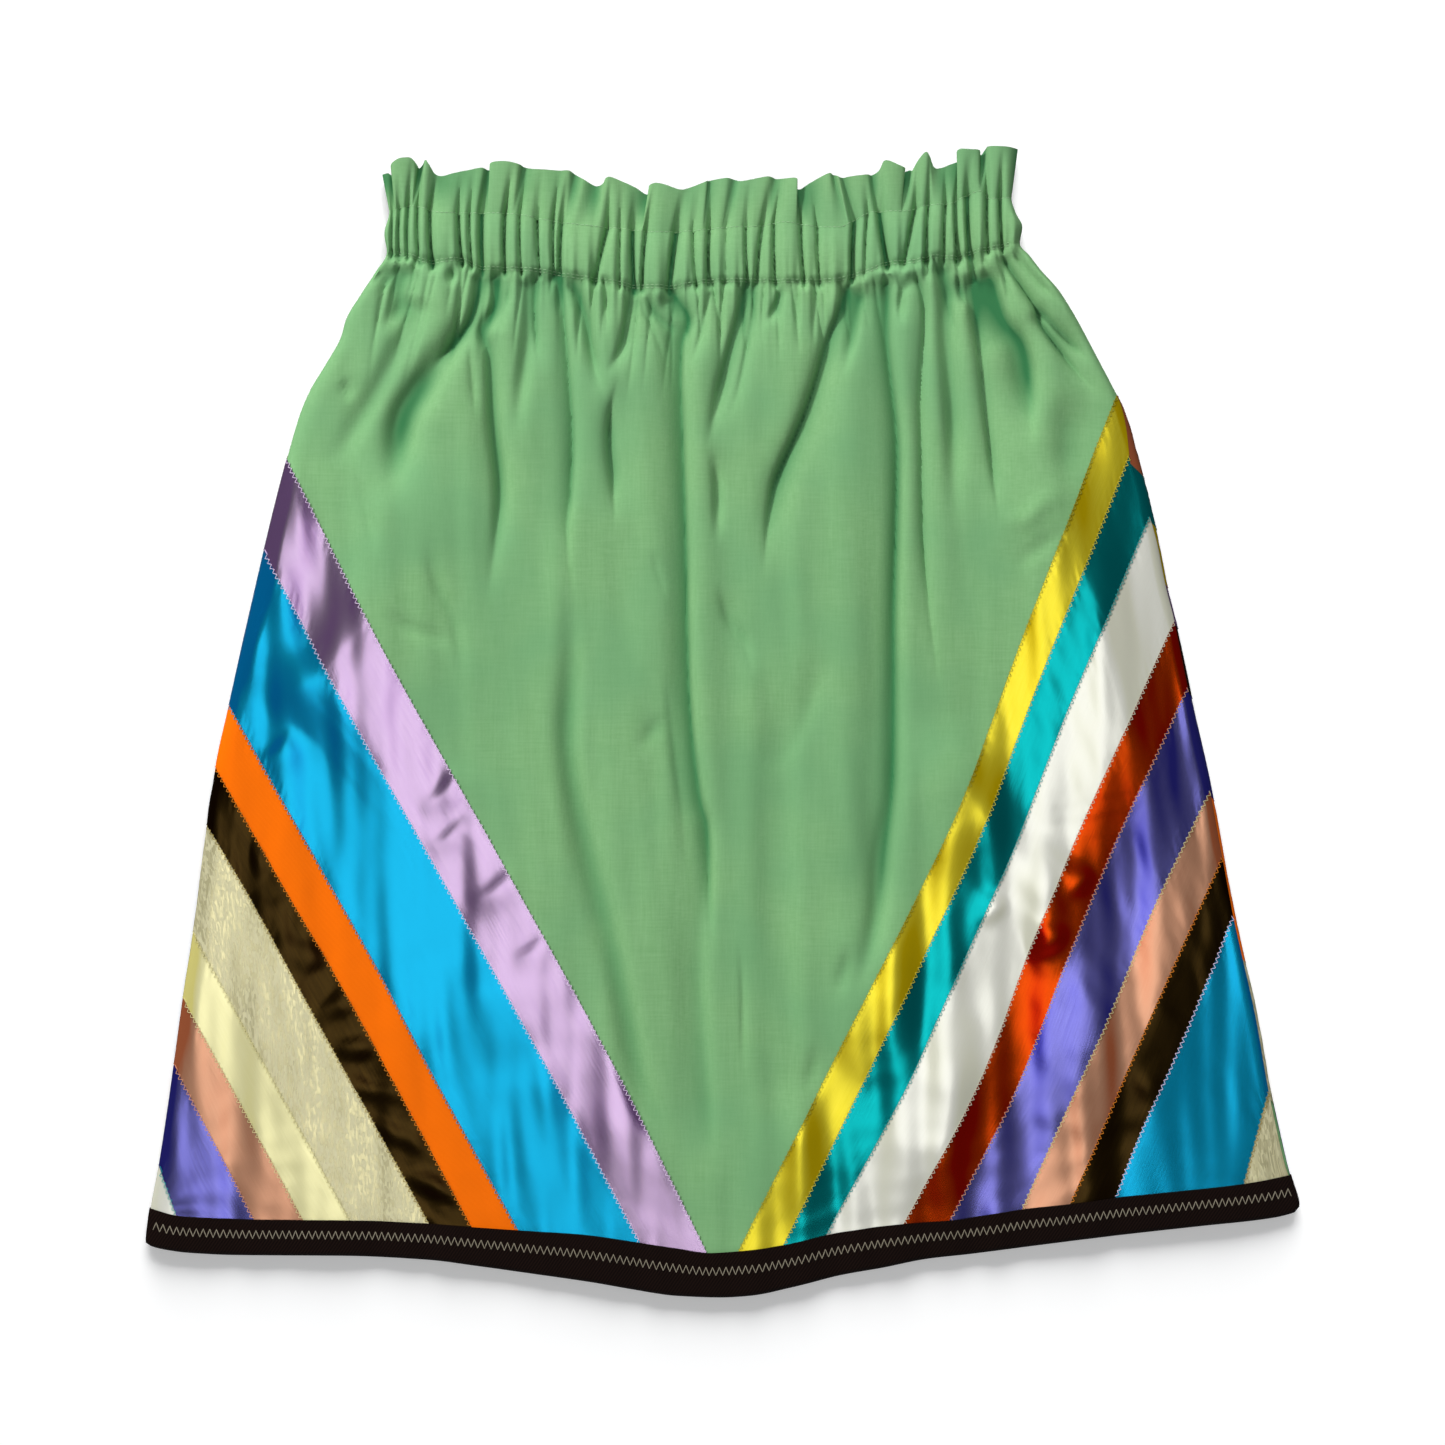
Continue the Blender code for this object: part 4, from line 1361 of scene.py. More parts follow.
# The front ruffle's folded edge from the left side to the right one. Where X runs backwards
# the cloth folds over itself.
# Each row has a point's X, Y and Z, and the X of its place on the seam.
FRONT_LIPS = tuple(
    Lip(*row)
    for row in (
        (-204.3, 329.0, 4.5, -200.0), (-200.7, 329.7, 4.8, -198.8), (-197.5, 328.0, 3.9, -197.0),
        (-198.9, 333.9, 8.2, -196.5), (-194.7, 337.2, 11.4, -194.0),
        (-190.5, 338.1, 12.0, -191.5), (-186.3, 337.8, 11.4, -189.2),
        (-183.3, 334.5, 9.0, -187.0), (-182.1, 332.7, 4.6, -185.6), (-179.7, 335.1, 5.2, -184.0),
        (-178.0, 336.9, 10.4, -182.0), (-175.5, 333.9, 10.0, -180.3),
        (-172.5, 329.1, 7.0, -177.3), (-168.3, 327.9, 6.0, -172.0), (-161.1, 329.7, 6.4, -164.0),
        (-151.5, 331.5, 7.0, -154.0), (-144.3, 332.7, 7.6, -148.0), (-140.7, 331.5, 4.8, -144.4),
        (-137.3, 332.7, 5.0, -142.0), (-139.5, 334.2, 9.0, -141.2), (-137.1, 335.7, 10.8, -139.0),
        (-129.3, 336.0, 11.2, -133.5), (-122.1, 334.5, 9.8, -127.5), (-119.1, 333.3, 5.4, -124.0),
        (-114.9, 332.1, 7.2, -118.0), (-106.5, 331.5, 8.0, -109.0), (-97.5, 330.9, 7.4, -101.7),
        (-92.1, 330.9, 8.2, -96.3), (-87.9, 328.5, 5.2, -94.0), (-83.1, 325.5, 8.0, -88.5),
        (-77.7, 322.5, 5.4, -83.0), (-74.7, 321.9, 5.2, -78.3), (-71.7, 323.1, 8.0, -74.7),
        (-69.9, 326.1, 9.8, -72.3), (-66.9, 326.7, 10.2, -68.7), (-60.3, 324.3, 8.6, -61.5),
        (-51.9, 320.7, 6.8, -54.3), (-45.9, 317.1, 4.8, -51.9), (-41.1, 318.3, 4.6, -48.9),
        (-44.1, 321.3, 8.6, -48.3), (-40.5, 323.1, 10.4, -45.9), (-34.5, 322.2, 10.4, -39.3),
        (-25.5, 319.5, 8.4, -30.3), (-19.5, 320.7, 7.6, -23.1), (-9.9, 324.3, 8.4, -13.5),
        (-8.1, 324.9, 5.8, -10.5), (-3.9, 325.5, 8.0, -6.3), (2.7, 326.4, 8.6, -0.9),
        (7.5, 325.5, 6.0, 0.6), (11.1, 324.6, 7.8, 6.3), (17.1, 325.5, 8.2, 14.7),
        (27.3, 327.3, 8.6, 22.5), (32.1, 326.1, 6.0, 26.1), (36.9, 326.1, 8.0, 33.3),
        (42.9, 326.4, 9.4, 41.7), (45.0, 325.3, 9.2, 44.7), (43.5, 321.9, 5.2, 46.0),
        (46.5, 320.1, 4.6, 50.1), (52.5, 323.7, 6.0, 55.5), (63.3, 329.1, 8.8, 63.9),
        (66.3, 328.5, 6.2, 74.1), (69.3, 327.3, 8.6, 75.9), (72.3, 326.7, 6.2, 78.3),
        (76.5, 327.3, 8.2, 81.3), (86.1, 328.5, 8.4, 87.3), (89.7, 328.5, 5.4, 92.1),
        (93.9, 330.9, 8.4, 93.9), (96.3, 335.7, 11.0, 95.7), (99.3, 336.3, 12.0, 98.7),
        (105.3, 333.9, 11.6, 102.3), (109.5, 332.1, 9.0, 106.5), (108.3, 330.3, 4.8, 107.7),
        (112.5, 331.5, 4.8, 109.5), (113.7, 330.9, 7.6, 111.9), (117.3, 336.9, 10.6, 116.7),
        (121.5, 341.3, 12.4, 120.9), (123.9, 339.3, 11.4, 123.3), (126.9, 332.7, 8.0, 126.9),
        (131.1, 332.7, 6.0, 131.1), (135.9, 334.5, 6.2, 135.3), (142.5, 337.5, 5.4, 139.5),
        (140.3, 341.7, 8.8, 140.7), (142.5, 343.5, 10.6, 143.1), (148.5, 343.2, 11.2, 147.3),
        (153.9, 342.9, 9.6, 152.1), (155.1, 340.5, 4.8, 155.1), (157.5, 343.5, 5.6, 156.9),
        (159.3, 345.0, 10.0, 159.3), (166.5, 345.0, 11.2, 165.3), (172.5, 344.7, 9.4, 170.1),
        (177.3, 344.1, 4.8, 173.7),
    )
)


@dataclass(frozen=True)
class Ruffle:
    """The paper-bag ruffle: the cloth above the casing, folded over and standing in flutes."""

    form: SkirtForm
    side: Side
    material: bpy.types.Material
    lips: tuple[Lip, ...]
    steps: int = 6
    rows: int = 18
    wall: float = 0.9
    unshaded_lip_z: float = 8.6
    full_shade_drop: float = 4.5
    flat_width: float = 430.0
    flat_length: float = 28.0

    def build(self) -> bpy.types.Object:
        """Makes one side of the ruffle as a closed folded edge."""
        form = self.form
        knots = tuple((lip.x, lip.y, lip.z, lip.seam_x) for lip in self.lips)
        edge = smooth_path(knots, self.steps)
        seam_x = np.maximum.accumulate(edge[:, 3])
        seam_y = form.upper_seam(seam_x)
        low = form.skin(seam_x, seam_y - 1.0, self.side, -0.25)
        share = np.linspace(0.0, 1.0, self.rows)[:, None, None]
        rise = share**0.75
        top = edge[None, :, :3]
        points = low[None] + (top - low[None]) * share
        points[..., 2] = (low[None] + (top - low[None]) * rise)[..., 2]
        points[..., 2] += (0.4 * np.sin(math.pi * share))[..., 0]
        mesh = grid_mesh(
            f"{self.side.value}_ruffle", points[::-1], flip=self.side is Side.BACK, rim=self.wall,
            ends=True,
        )
        # Painted shade: where the ruffle's edge dips low between flutes, the cloth gets the darker
        # green of a fold, growing from the seam up to the edge.
        if self.side is Side.FRONT:
            dip = np.clip((self.unshaded_lip_z - edge[:, 2]) / self.full_shade_drop, 0.0, 1.0)
            shares = smoothstep(1.2 * share[..., 0]) * dip[None, :]
            add_fold_shade(mesh, np.vstack([shares[-1:], shares[::-1], shares[:1]]))
        piece = add_piece(mesh, self.material)
        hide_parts(f"ruffle_{self.side.value}")
        return piece


def back_lips(form: SkirtForm) -> tuple[Lip, ...]:
    """The back ruffle's edge: uneven low flutes, pressed flat by the skirt's weight."""
    draw = np.random.default_rng(5)
    found = []
    place = -203.5
    high = False
    while place < 172.0:
        line = float(np.interp(place, [lip.x for lip in FRONT_LIPS], [lip.y for lip in FRONT_LIPS]))
        z = draw.uniform(2.2, 3.0) if high else draw.uniform(0.7, 1.1)
        seam = -200.0 + (place + 204.3) / 381.6 * 373.7
        found.append(Lip(place, line - draw.uniform(2.0, 4.5), z, seam))
        place += draw.uniform(3.0, 8.5)
        high = not high
    found.append(Lip(176.5, 341.0, 4.0, 173.7))
    return tuple(found)


@dataclass(frozen=True)
class Border:
    """The line where a ribbon starts, from the side fold down to the hem."""

    form: SkirtForm
    left_side: bool
    side: Side
    side_y: float
    bows: tuple[float, float, float]
    hem_x: float

    def start_x(self, y: Array) -> Array:
        """Where the ribbons end at the side seam, at some levels."""
        if self.left_side:
            return self.form.left(y)
        inset = self.form.seam_inset(y)
        return self.form.right(y) + (inset if self.side is Side.BACK else -inset)

    def point(self, share: Array) -> tuple[Array, Array]:
        """Places along the border, from 0 at the side seam to 1 at the tape."""
        hem_y = self.form.tape_top(np.array(self.hem_x))
        y = self.side_y + (hem_y - self.side_y) * share
        side_x = self.start_x(np.array(self.side_y))
        bow = SmoothLine(tuple(zip((0.0, 0.25, 0.5, 0.75, 1.0), (0.0, *self.bows, 0.0))))
        return side_x + (self.hem_x - side_x) * share + bow(share), y


@dataclass(frozen=True)
class Corner:
    """The lower corner of a side, where the last ribbon runs out."""

    x: float
    y: float

    def point(self, share: Array) -> tuple[Array, Array]:
        """The corner, once for each share."""
        return np.full(share.shape, self.x), np.full(share.shape, self.y)


@dataclass(frozen=True)
class Ribbon:
    """One ribbon's finish and border.

    Crumple is the height of its small puckers in mm, pucker is their length along it, and stretch
    is how many times as far they reach across.
    """

    name: str
    slot: str
    side_y: float
    bows: tuple[float, float, float]
    hem_x: float
    crumple: float = 0.12
    pucker: float = 22.0
    stretch: float = 1.6


NO_BOWS = (0.0, 0.0, 0.0)
FRONT_LEFT = (
    Ribbon("lilac", "lilac_satin", 158.5, (-2.5, 1.0, 3.5), -9.5, 0.05, 26.0),
    Ribbon("blue", "blue_satin", 104.0, (-1.5, 0.0, 1.5), -49.5, 0.05, 34.0),
    Ribbon("orange", "orange_matte", 11.0, (1.0, 2.0, 0.0), -122.5, 0.08),
    Ribbon("brown", "brown_satin", -26.5, (1.0, 2.5, 1.5), -150.5, 0.75, 30.0, 1.3),
    Ribbon("gold", "gold_lame", -61.0, (1.5, 0.5, 0.5), -176.0, 0.08),
    Ribbon("cream", "cream_satin", -125.5, NO_BOWS, -223.5, 0.06),
    Ribbon("peach", "peach_satin", -164.5, NO_BOWS, -251.5, 0.07),
    Ribbon("periwinkle", "periwinkle_satin", -204.5, NO_BOWS, -281.0, 0.08),
    Ribbon("white", "ivory_satin", -265.5, NO_BOWS, -327.5, 0.1),
)
FRONT_RIGHT = (
    Ribbon("yellow", "yellow_satin", 196.0, (6.5, 14.5, 7.5), 9.5, 0.07, 26.0),
    Ribbon("teal", "teal_satin", 160.0, (4.0, 10.0, 6.0), 36.5, 0.09, 24.0),
    Ribbon("ivory", "ivory_satin", 123.5, (2.5, 8.5, 8.5), 62.0, 0.1, 28.0),
    Ribbon("rust", "rust_satin", 61.0, (-1.0, 1.0, 7.0), 108.5, 0.12, 22.0),
    Ribbon("periwinkle", "periwinkle_satin", 21.5, (-2.0, 0.5, 5.0), 136.0, 0.12, 24.0),
    Ribbon("peach", "peach_satin", -40.5, (-2.0, 0.0, 0.0), 179.5, 0.1, 24.0),
    Ribbon("brown", "brown_satin", -80.5, (-0.5, -1.0, -0.5), 208.5, 0.4, 30.0, 1.3),
    Ribbon("blue", "blue_satin", -115.5, (1.0, 0.5, -1.0), 235.5, 0.06, 34.0),
    Ribbon("gold", "gold_lame", -221.0, NO_BOWS, 312.5, 0.1),
)
BACK_LEFT = (
    Ribbon("cream", "cream_satin", 160.0, NO_BOWS, -8.0),
    Ribbon("teal", "teal_satin", 122.0, NO_BOWS, -35.0),
    Ribbon("rust", "rust_satin", 84.0, NO_BOWS, -62.0),
    Ribbon("lilac", "lilac_satin", 46.0, NO_BOWS, -90.0),
    Ribbon("brown", "brown_satin", -18.0, NO_BOWS, -137.0),
    Ribbon("yellow", "yellow_satin", -56.0, NO_BOWS, -164.0),
    Ribbon("blue", "blue_satin", -94.0, NO_BOWS, -192.0),
    Ribbon("peach", "peach_satin", -202.0, NO_BOWS, -271.0),
    Ribbon("gold", "gold_lame", -240.0, NO_BOWS, -300.0),
)
BACK_RIGHT = (
    Ribbon("peach", "peach_satin", 196.0, NO_BOWS, 8.0),
    Ribbon("teal", "teal_satin", 155.0, NO_BOWS, 37.0),
    Ribbon("yellow", "yellow_satin", 119.5, NO_BOWS, 64.0),
    Ribbon("lilac", "lilac_satin", 83.0, NO_BOWS, 91.0),
    Ribbon("brown", "brown_satin", 58.5, NO_BOWS, 110.0),
    Ribbon("periwinkle", "periwinkle_satin", 16.5, NO_BOWS, 140.0),
    Ribbon("orange", "orange_matte", -45.0, NO_BOWS, 183.0),
    Ribbon("gold", "gold_lame", -142.0, NO_BOWS, 252.0),
    Ribbon("blue", "blue_satin", -226.0, NO_BOWS, 312.0),
)

# The thread of the zigzag along each ribbon's upper border, by the ribbon's slot
BORDER_THREADS = {
    "lilac_satin": ("thread_lilac", "E4D4EA", "CDB6D6"),
    "blue_satin": ("thread_lilac", "E4D4EA", "CDB6D6"),
    "orange_matte": ("thread_blue", "3FA9C8", "1C7FA6"),
    "brown_satin": ("thread_orange", "E08A2A", "B86410"),
    "gold_lame": ("thread_gold", "B9A35A", "8C7838"),
    "cream_satin": ("thread_cream", "D9D3A0", "B8B07C"),
    "peach_satin": ("thread_cream", "D9D3A0", "B8B07C"),
    "periwinkle_satin": ("thread_peach", "D9A080", "B88062"),
    "ivory_satin": ("thread_teal", "2FA5A2", "0C7C7C"),
    "yellow_satin": ("thread_olive", "A89A28", "7C8A3A"),
    "teal_satin": ("thread_yellow", "D8CC50", "A89A28"),
    "rust_satin": ("thread_ivory", "D8D4C0", "B0AC98"),
}


@dataclass(frozen=True)
class RibbonBand:
    """The ribbons on one half of one side, each cut between two borders."""

    form: SkirtForm
    side: Side
    left_side: bool
    ribbons: tuple[Ribbon, ...]
    materials: dict[str, bpy.types.Material]
    cell: float
    under: float = 0.42
    over: float = 0.55
    rim: float = 0.25
    into_tape: float = 5.0
    stitched_run: float = 2.2
    stitched_dip: float = 0.06
    edge_pucker: float = 0.05

    def border(self, index: int) -> Border | Corner:
        """The border above a ribbon, or the side's corner after the last one."""
        if index == len(self.ribbons):
            corner_y = -296.0 if self.left_side else -276.0
            edge = self.form.left if self.left_side else self.form.right
            return Corner(float(edge(corner_y)), corner_y)
        ribbon = self.ribbons[index]
        return Border(
            self.form, self.left_side, self.side, ribbon.side_y, ribbon.bows, ribbon.hem_x
        )

    def build_ribbon(self, index: int) -> bpy.types.Object:
        """Makes one ribbon as a thin shell over the panel."""
        form, ribbon = self.form, self.ribbons[index]
        high, low = self.border(index), self.border(index + 1)
        (x0, x1), (y0, y1) = high.point(np.array([0.0, 1.0]))
        (x2, x3), (y2, y3) = low.point(np.array([0.0, 1.0]))
        length = math.hypot(x1 - x0, y1 - y0)
        span = abs((x2 - x0) * (y1 - y0) - (y2 - y0) * (x1 - x0)) / length
        last = index + 1 == len(self.ribbons)
        width = 38.0 if last else span
        rows = int(length / self.cell) + 2
        columns = max(8, int(width / self.cell) + 2)
        run = spaced(rows, 0.8) * (1.0 + self.into_tape / length)
        across = np.linspace(0.0, 1.0, columns)[None, :]
        high_x, high_y = high.point(run)
        low_x, low_y = low.point(run)
        x = high_x[:, None] + (low_x - high_x)[:, None] * across
        y = high_y[:, None] + (low_y - high_y)[:, None] * across
        start = Border(form, self.left_side, self.side, 0.0, NO_BOWS, 0.0).start_x(y)
        share = run[:, None]
        x = x + (start[:1] - x[:1]) * np.maximum(1.0 - share, 0.0) ** 6
        if last:
            edge = form.left(y) if self.left_side else form.right(y)
            x = np.maximum(x, edge) if self.left_side else np.minimum(x, edge)
        along = share * length
        offset = across * width
        ripple = Ripple(
            31 * index + 7 * len(ribbon.name) + (3 if self.left_side else 0),
            ribbon.pucker,
            ribbon.stretch * ribbon.pucker,
        )
        edge_gap = np.minimum(across, 1.0 - across) * width
        lift = self.under + (self.over - self.under) * across
        lift = lift - self.stitched_dip * np.exp(-((edge_gap / self.stitched_run) ** 2))
        free = 1.0 - 0.55 * np.exp(-((edge_gap / 4.0) ** 2))
        lift = lift + ribbon.crumple * free * np.maximum(ripple(along, offset), -1.2)
        near_edge = np.exp(-((edge_gap - 2.5) / 2.2) ** 2)
        lift = lift + self.edge_pucker * near_edge * EDGE_RIPPLE(along, offset)
        lift = np.maximum(lift, 0.25)
        points = form.skin(x, y, self.side, lift)
        flip = self.left_side == (self.side is Side.FRONT)
        half = "l" if self.left_side else "r"
        node = f"ribbon_{self.side.value}_{half}{index + 1}_{ribbon.name}"
        mesh = grid_mesh(f"{node}_cloth", points, flip=not flip, rim=self.rim)
        piece = add_piece(mesh, self.materials[ribbon.slot])
        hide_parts(node)
        return piece

    def build(self) -> None:
        """Makes every ribbon of the band."""
        for index in range(len(self.ribbons)):
            self.build_ribbon(index)


@dataclass(frozen=True)
class Stitch:
    """A run of thread on the cloth's face, as joined short bowed tubes."""

    radius: float
    bow: float
    corners: int = 4

    def tubes(self, starts: Array, ends: Array) -> tuple[Array, Array]:
        """Makes a bowed tube for each stitch.

        Args:
            starts: Where each stitch starts.
            ends: Where it ends.

        Returns:
            The tubes' points and quads.
        """
        middle = 0.5 * (starts + ends)
        middle[:, 2] += self.bow
        run = ends - starts
        run /= np.maximum(np.linalg.norm(run, axis=1, keepdims=True), 1e-9)
        up = np.tile(np.array([0.0, 0.0, 1.0]), (len(run), 1))
        aside = np.cross(run, up)
        aside /= np.maximum(np.linalg.norm(aside, axis=1, keepdims=True), 1e-9)
        top = np.cross(aside, run)
        rings = []
        for centre, size in ((starts, 0.7), (middle, 1.0), (ends, 0.7)):
            for corner in range(self.corners):
                turn = 2 * math.pi * (corner + 0.5) / self.corners
                shift = math.cos(turn) * aside + math.sin(turn) * top
                rings.append(centre + self.radius * size * shift)
        points = np.stack(rings, axis=1)
        count = self.corners
        faces = []
        for ring in range(2):
            for corner in range(count):
                a = ring * count + corner
                b = ring * count + (corner + 1) % count
                faces.append((a, b, b + count, a + count))
        faces.append((3, 2, 1, 0))
        faces.append((2 * count, 2 * count + 1, 2 * count + 2, 2 * count + 3))
        faces = np.array(faces)
        shifts = np.arange(len(points)) * points.shape[1]
        faces = (faces[None] + shifts[:, None, None]).reshape(-1, 4)
        return points.reshape(-1, 3), faces


@dataclass(frozen=True)
class BorderStitches:
    """The small zigzags that hold the ribbons' edges, one piece for each thread."""

    bands: tuple[RibbonBand, ...]
    stitch: Stitch = Stitch(0.26, 0.12)
    pitch: float = 3.4
    inward: float = 0.6
    outward: float = 1.5
    lift: float = 0.72

    def border_points(self, band: RibbonBand, index: int) -> Array:
        """Places one border's zigzag.

        Args:
            band: The ribbons that it holds.
            index: The border's number in the band.

        Returns:
            The zigzag's corners.
        """
        border = band.border(index)
        (x0, x1), (y0, y1) = border.point(np.array([0.0, 1.0]))
        length = math.hypot(x1 - x0, y1 - y0)
        count = int(length / (0.5 * self.pitch))
        share = (np.arange(count) + 0.5) / count
        x, y = border.point(share)
        slope_x, slope_y = np.gradient(x), np.gradient(y)
        size = np.hypot(slope_x, slope_y)
        down = -1.0 if band.left_side else 1.0
        draw = np.random.default_rng(index)
        swing = np.where(np.arange(count) % 2, self.outward, -self.inward)
        swing = (swing + draw.uniform(-0.25, 0.25, count)) * down
        x = x - swing * slope_y / size
        y = y + swing * slope_x / size
        left, right = band.form.left(y), band.form.right(y)
        inside = (x > left + 0.4) & (x < right - 0.4)
        return band.form.skin(x[inside], y[inside], band.side, self.lift)

    def build(self) -> None:
        """Makes one joined mesh for each thread and side."""
        for side in Side:
            runs: dict[tuple[str, str, str], list[Array]] = {}
            for band in self.bands:
                if band.side is not side:
                    continue
                for index, ribbon in enumerate(band.ribbons):
                    thread = BORDER_THREADS[ribbon.slot]
                    runs.setdefault(thread, []).append(self.border_points(band, index))
            for thread, lines in runs.items():
                starts = np.vstack([line[:-1] for line in lines])
                ends = np.vstack([line[1:] for line in lines])
                points, faces = self.stitch.tubes(starts, ends)
                mesh = face_mesh(f"{side.value}_{thread[0]}", points, faces, None)
                found = bpy.data.materials.get(thread[0])
                add_piece(mesh, found or Thread(*thread).build())


@dataclass(frozen=True)
class HemTape:
    """The dark tape folded over the lower edge, and the zigzag stitch that holds it."""

    form: SkirtForm
    materials: dict[str, bpy.types.Material]
    columns: int = 460
    rows: int = 26
    lift: float = 1.5
    ridge: float = 0.18
    fold_run: float = 3.0
    stitch_share: float = 0.4
    stitch_width: float = 5.0
    stitch_pitch: float = 4.0
    flat_height: float = 26.0

    def places(self) -> Array:
        """Places across the hem, closer together at the two side folds."""
        even = np.linspace(-1.0, 1.0, self.columns)
        return 345.2 * np.sin(0.5 * math.pi * even * 0.9) / math.sin(0.45 * math.pi)

    def build_side(self, side: Side) -> bpy.types.Object:
        """Makes the tape on one side, from its upper edge to its fold."""
        form = self.form
        hem_x = self.places()[None, :]
        top, low = form.tape_top(hem_x), form.tape_bottom(hem_x)
        share = np.linspace(0.0, 1.0, self.rows)[:, None]
        eased = np.sin(0.5 * math.pi * share) * 0.35 + share * 0.65
        y = top + (low - top) * eased
        scale = (hem_x + 345.2) / 690.4
        left, right = form.left(y), form.right(y)
        x = left + (right - left) * scale
        line = np.exp(-(((eased - self.stitch_share + 0.16) / 0.05) ** 2))
        points = form.skin(x, y, side, self.lift + self.ridge * line)
        gap = np.clip((y - low) / self.fold_run, 0.0, 1.0)
        roll = np.sqrt(np.maximum(1.0 - (1.0 - gap) ** 2, 0.0))
        fold_z = 3.1
        points[..., 2] = fold_z + (points[..., 2] - fold_z) * roll
        points[..., 2] = np.maximum(points[..., 2], 0.25)
        mesh = grid_mesh(f"{side.value}_tape", points, side is Side.BACK, 0.5, True)
        piece = add_piece(mesh, self.materials["dark_tape"])
        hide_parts(f"hem_tape_{side.value}")
        return piece

    def build_zigzag(self, side: Side) -> bpy.types.Object:
        """Makes the zigzag along the tape."""
        form = self.form
        count = int(690.0 / (0.5 * self.stitch_pitch))
        x = np.linspace(-341.0, 341.0, count)
        top, low = form.tape_top(x), form.tape_bottom(x)
        swing = np.where(np.arange(count) % 2, 0.5, -0.5) * self.stitch_width
        y = top + (low - top) * self.stitch_share + swing
        points = form.skin(x, y, side, self.lift + 0.3)
        points[:, 2] = np.maximum(points[:, 2], 0.45)
        stitch = Stitch(0.32, 0.15)
        points, faces = stitch.tubes(points[:-1], points[1:])
        mesh = face_mesh(f"{side.value}_hem_zigzag", points, faces, None)
        return add_piece(mesh, self.materials["hem_thread"])

    def build(self) -> None:
        """Makes both sides of the tape with their zigzags."""
        for side in Side:
            self.build_side(side)
            self.build_zigzag(side)


@dataclass(frozen=True)
class CasingStitches:
    """The two straight rows of stitches that hold the casing."""

    form: SkirtForm
    material: bpy.types.Material
    stitch: Stitch = Stitch(0.22, 0.12)
    length: float = 1.9
    gap: float = 0.9

    def row(self, seam: SmoothLine, side: Side, shift: float) -> tuple[Array, Array]:
        """The two ends of each stitch of one row."""
        pitch = self.length + self.gap
        count = int(370.0 / pitch)
        x = -197.0 + np.arange(count) * pitch
        ends = []
        for place in (x, x + self.length):
            ends.append(self.form.skin(place, seam(place) + shift, side, 0.12))
        return ends[0], ends[1]

    def build(self) -> None:
        """Makes both rows on both sides."""
        for side in Side:
            rows = [
                self.row(self.form.lower_seam, side, 0.0),
                self.row(self.form.lower_seam, side, 1.6),
                self.row(self.form.upper_seam, side, 0.0),
            ]
            starts = np.vstack([row[0] for row in rows])
            ends = np.vstack([row[1] for row in rows])
            points, faces = self.stitch.tubes(starts, ends)
            mesh = face_mesh(f"{side.value}_casing_stitches", points, faces, None)
            add_piece(mesh, self.material)


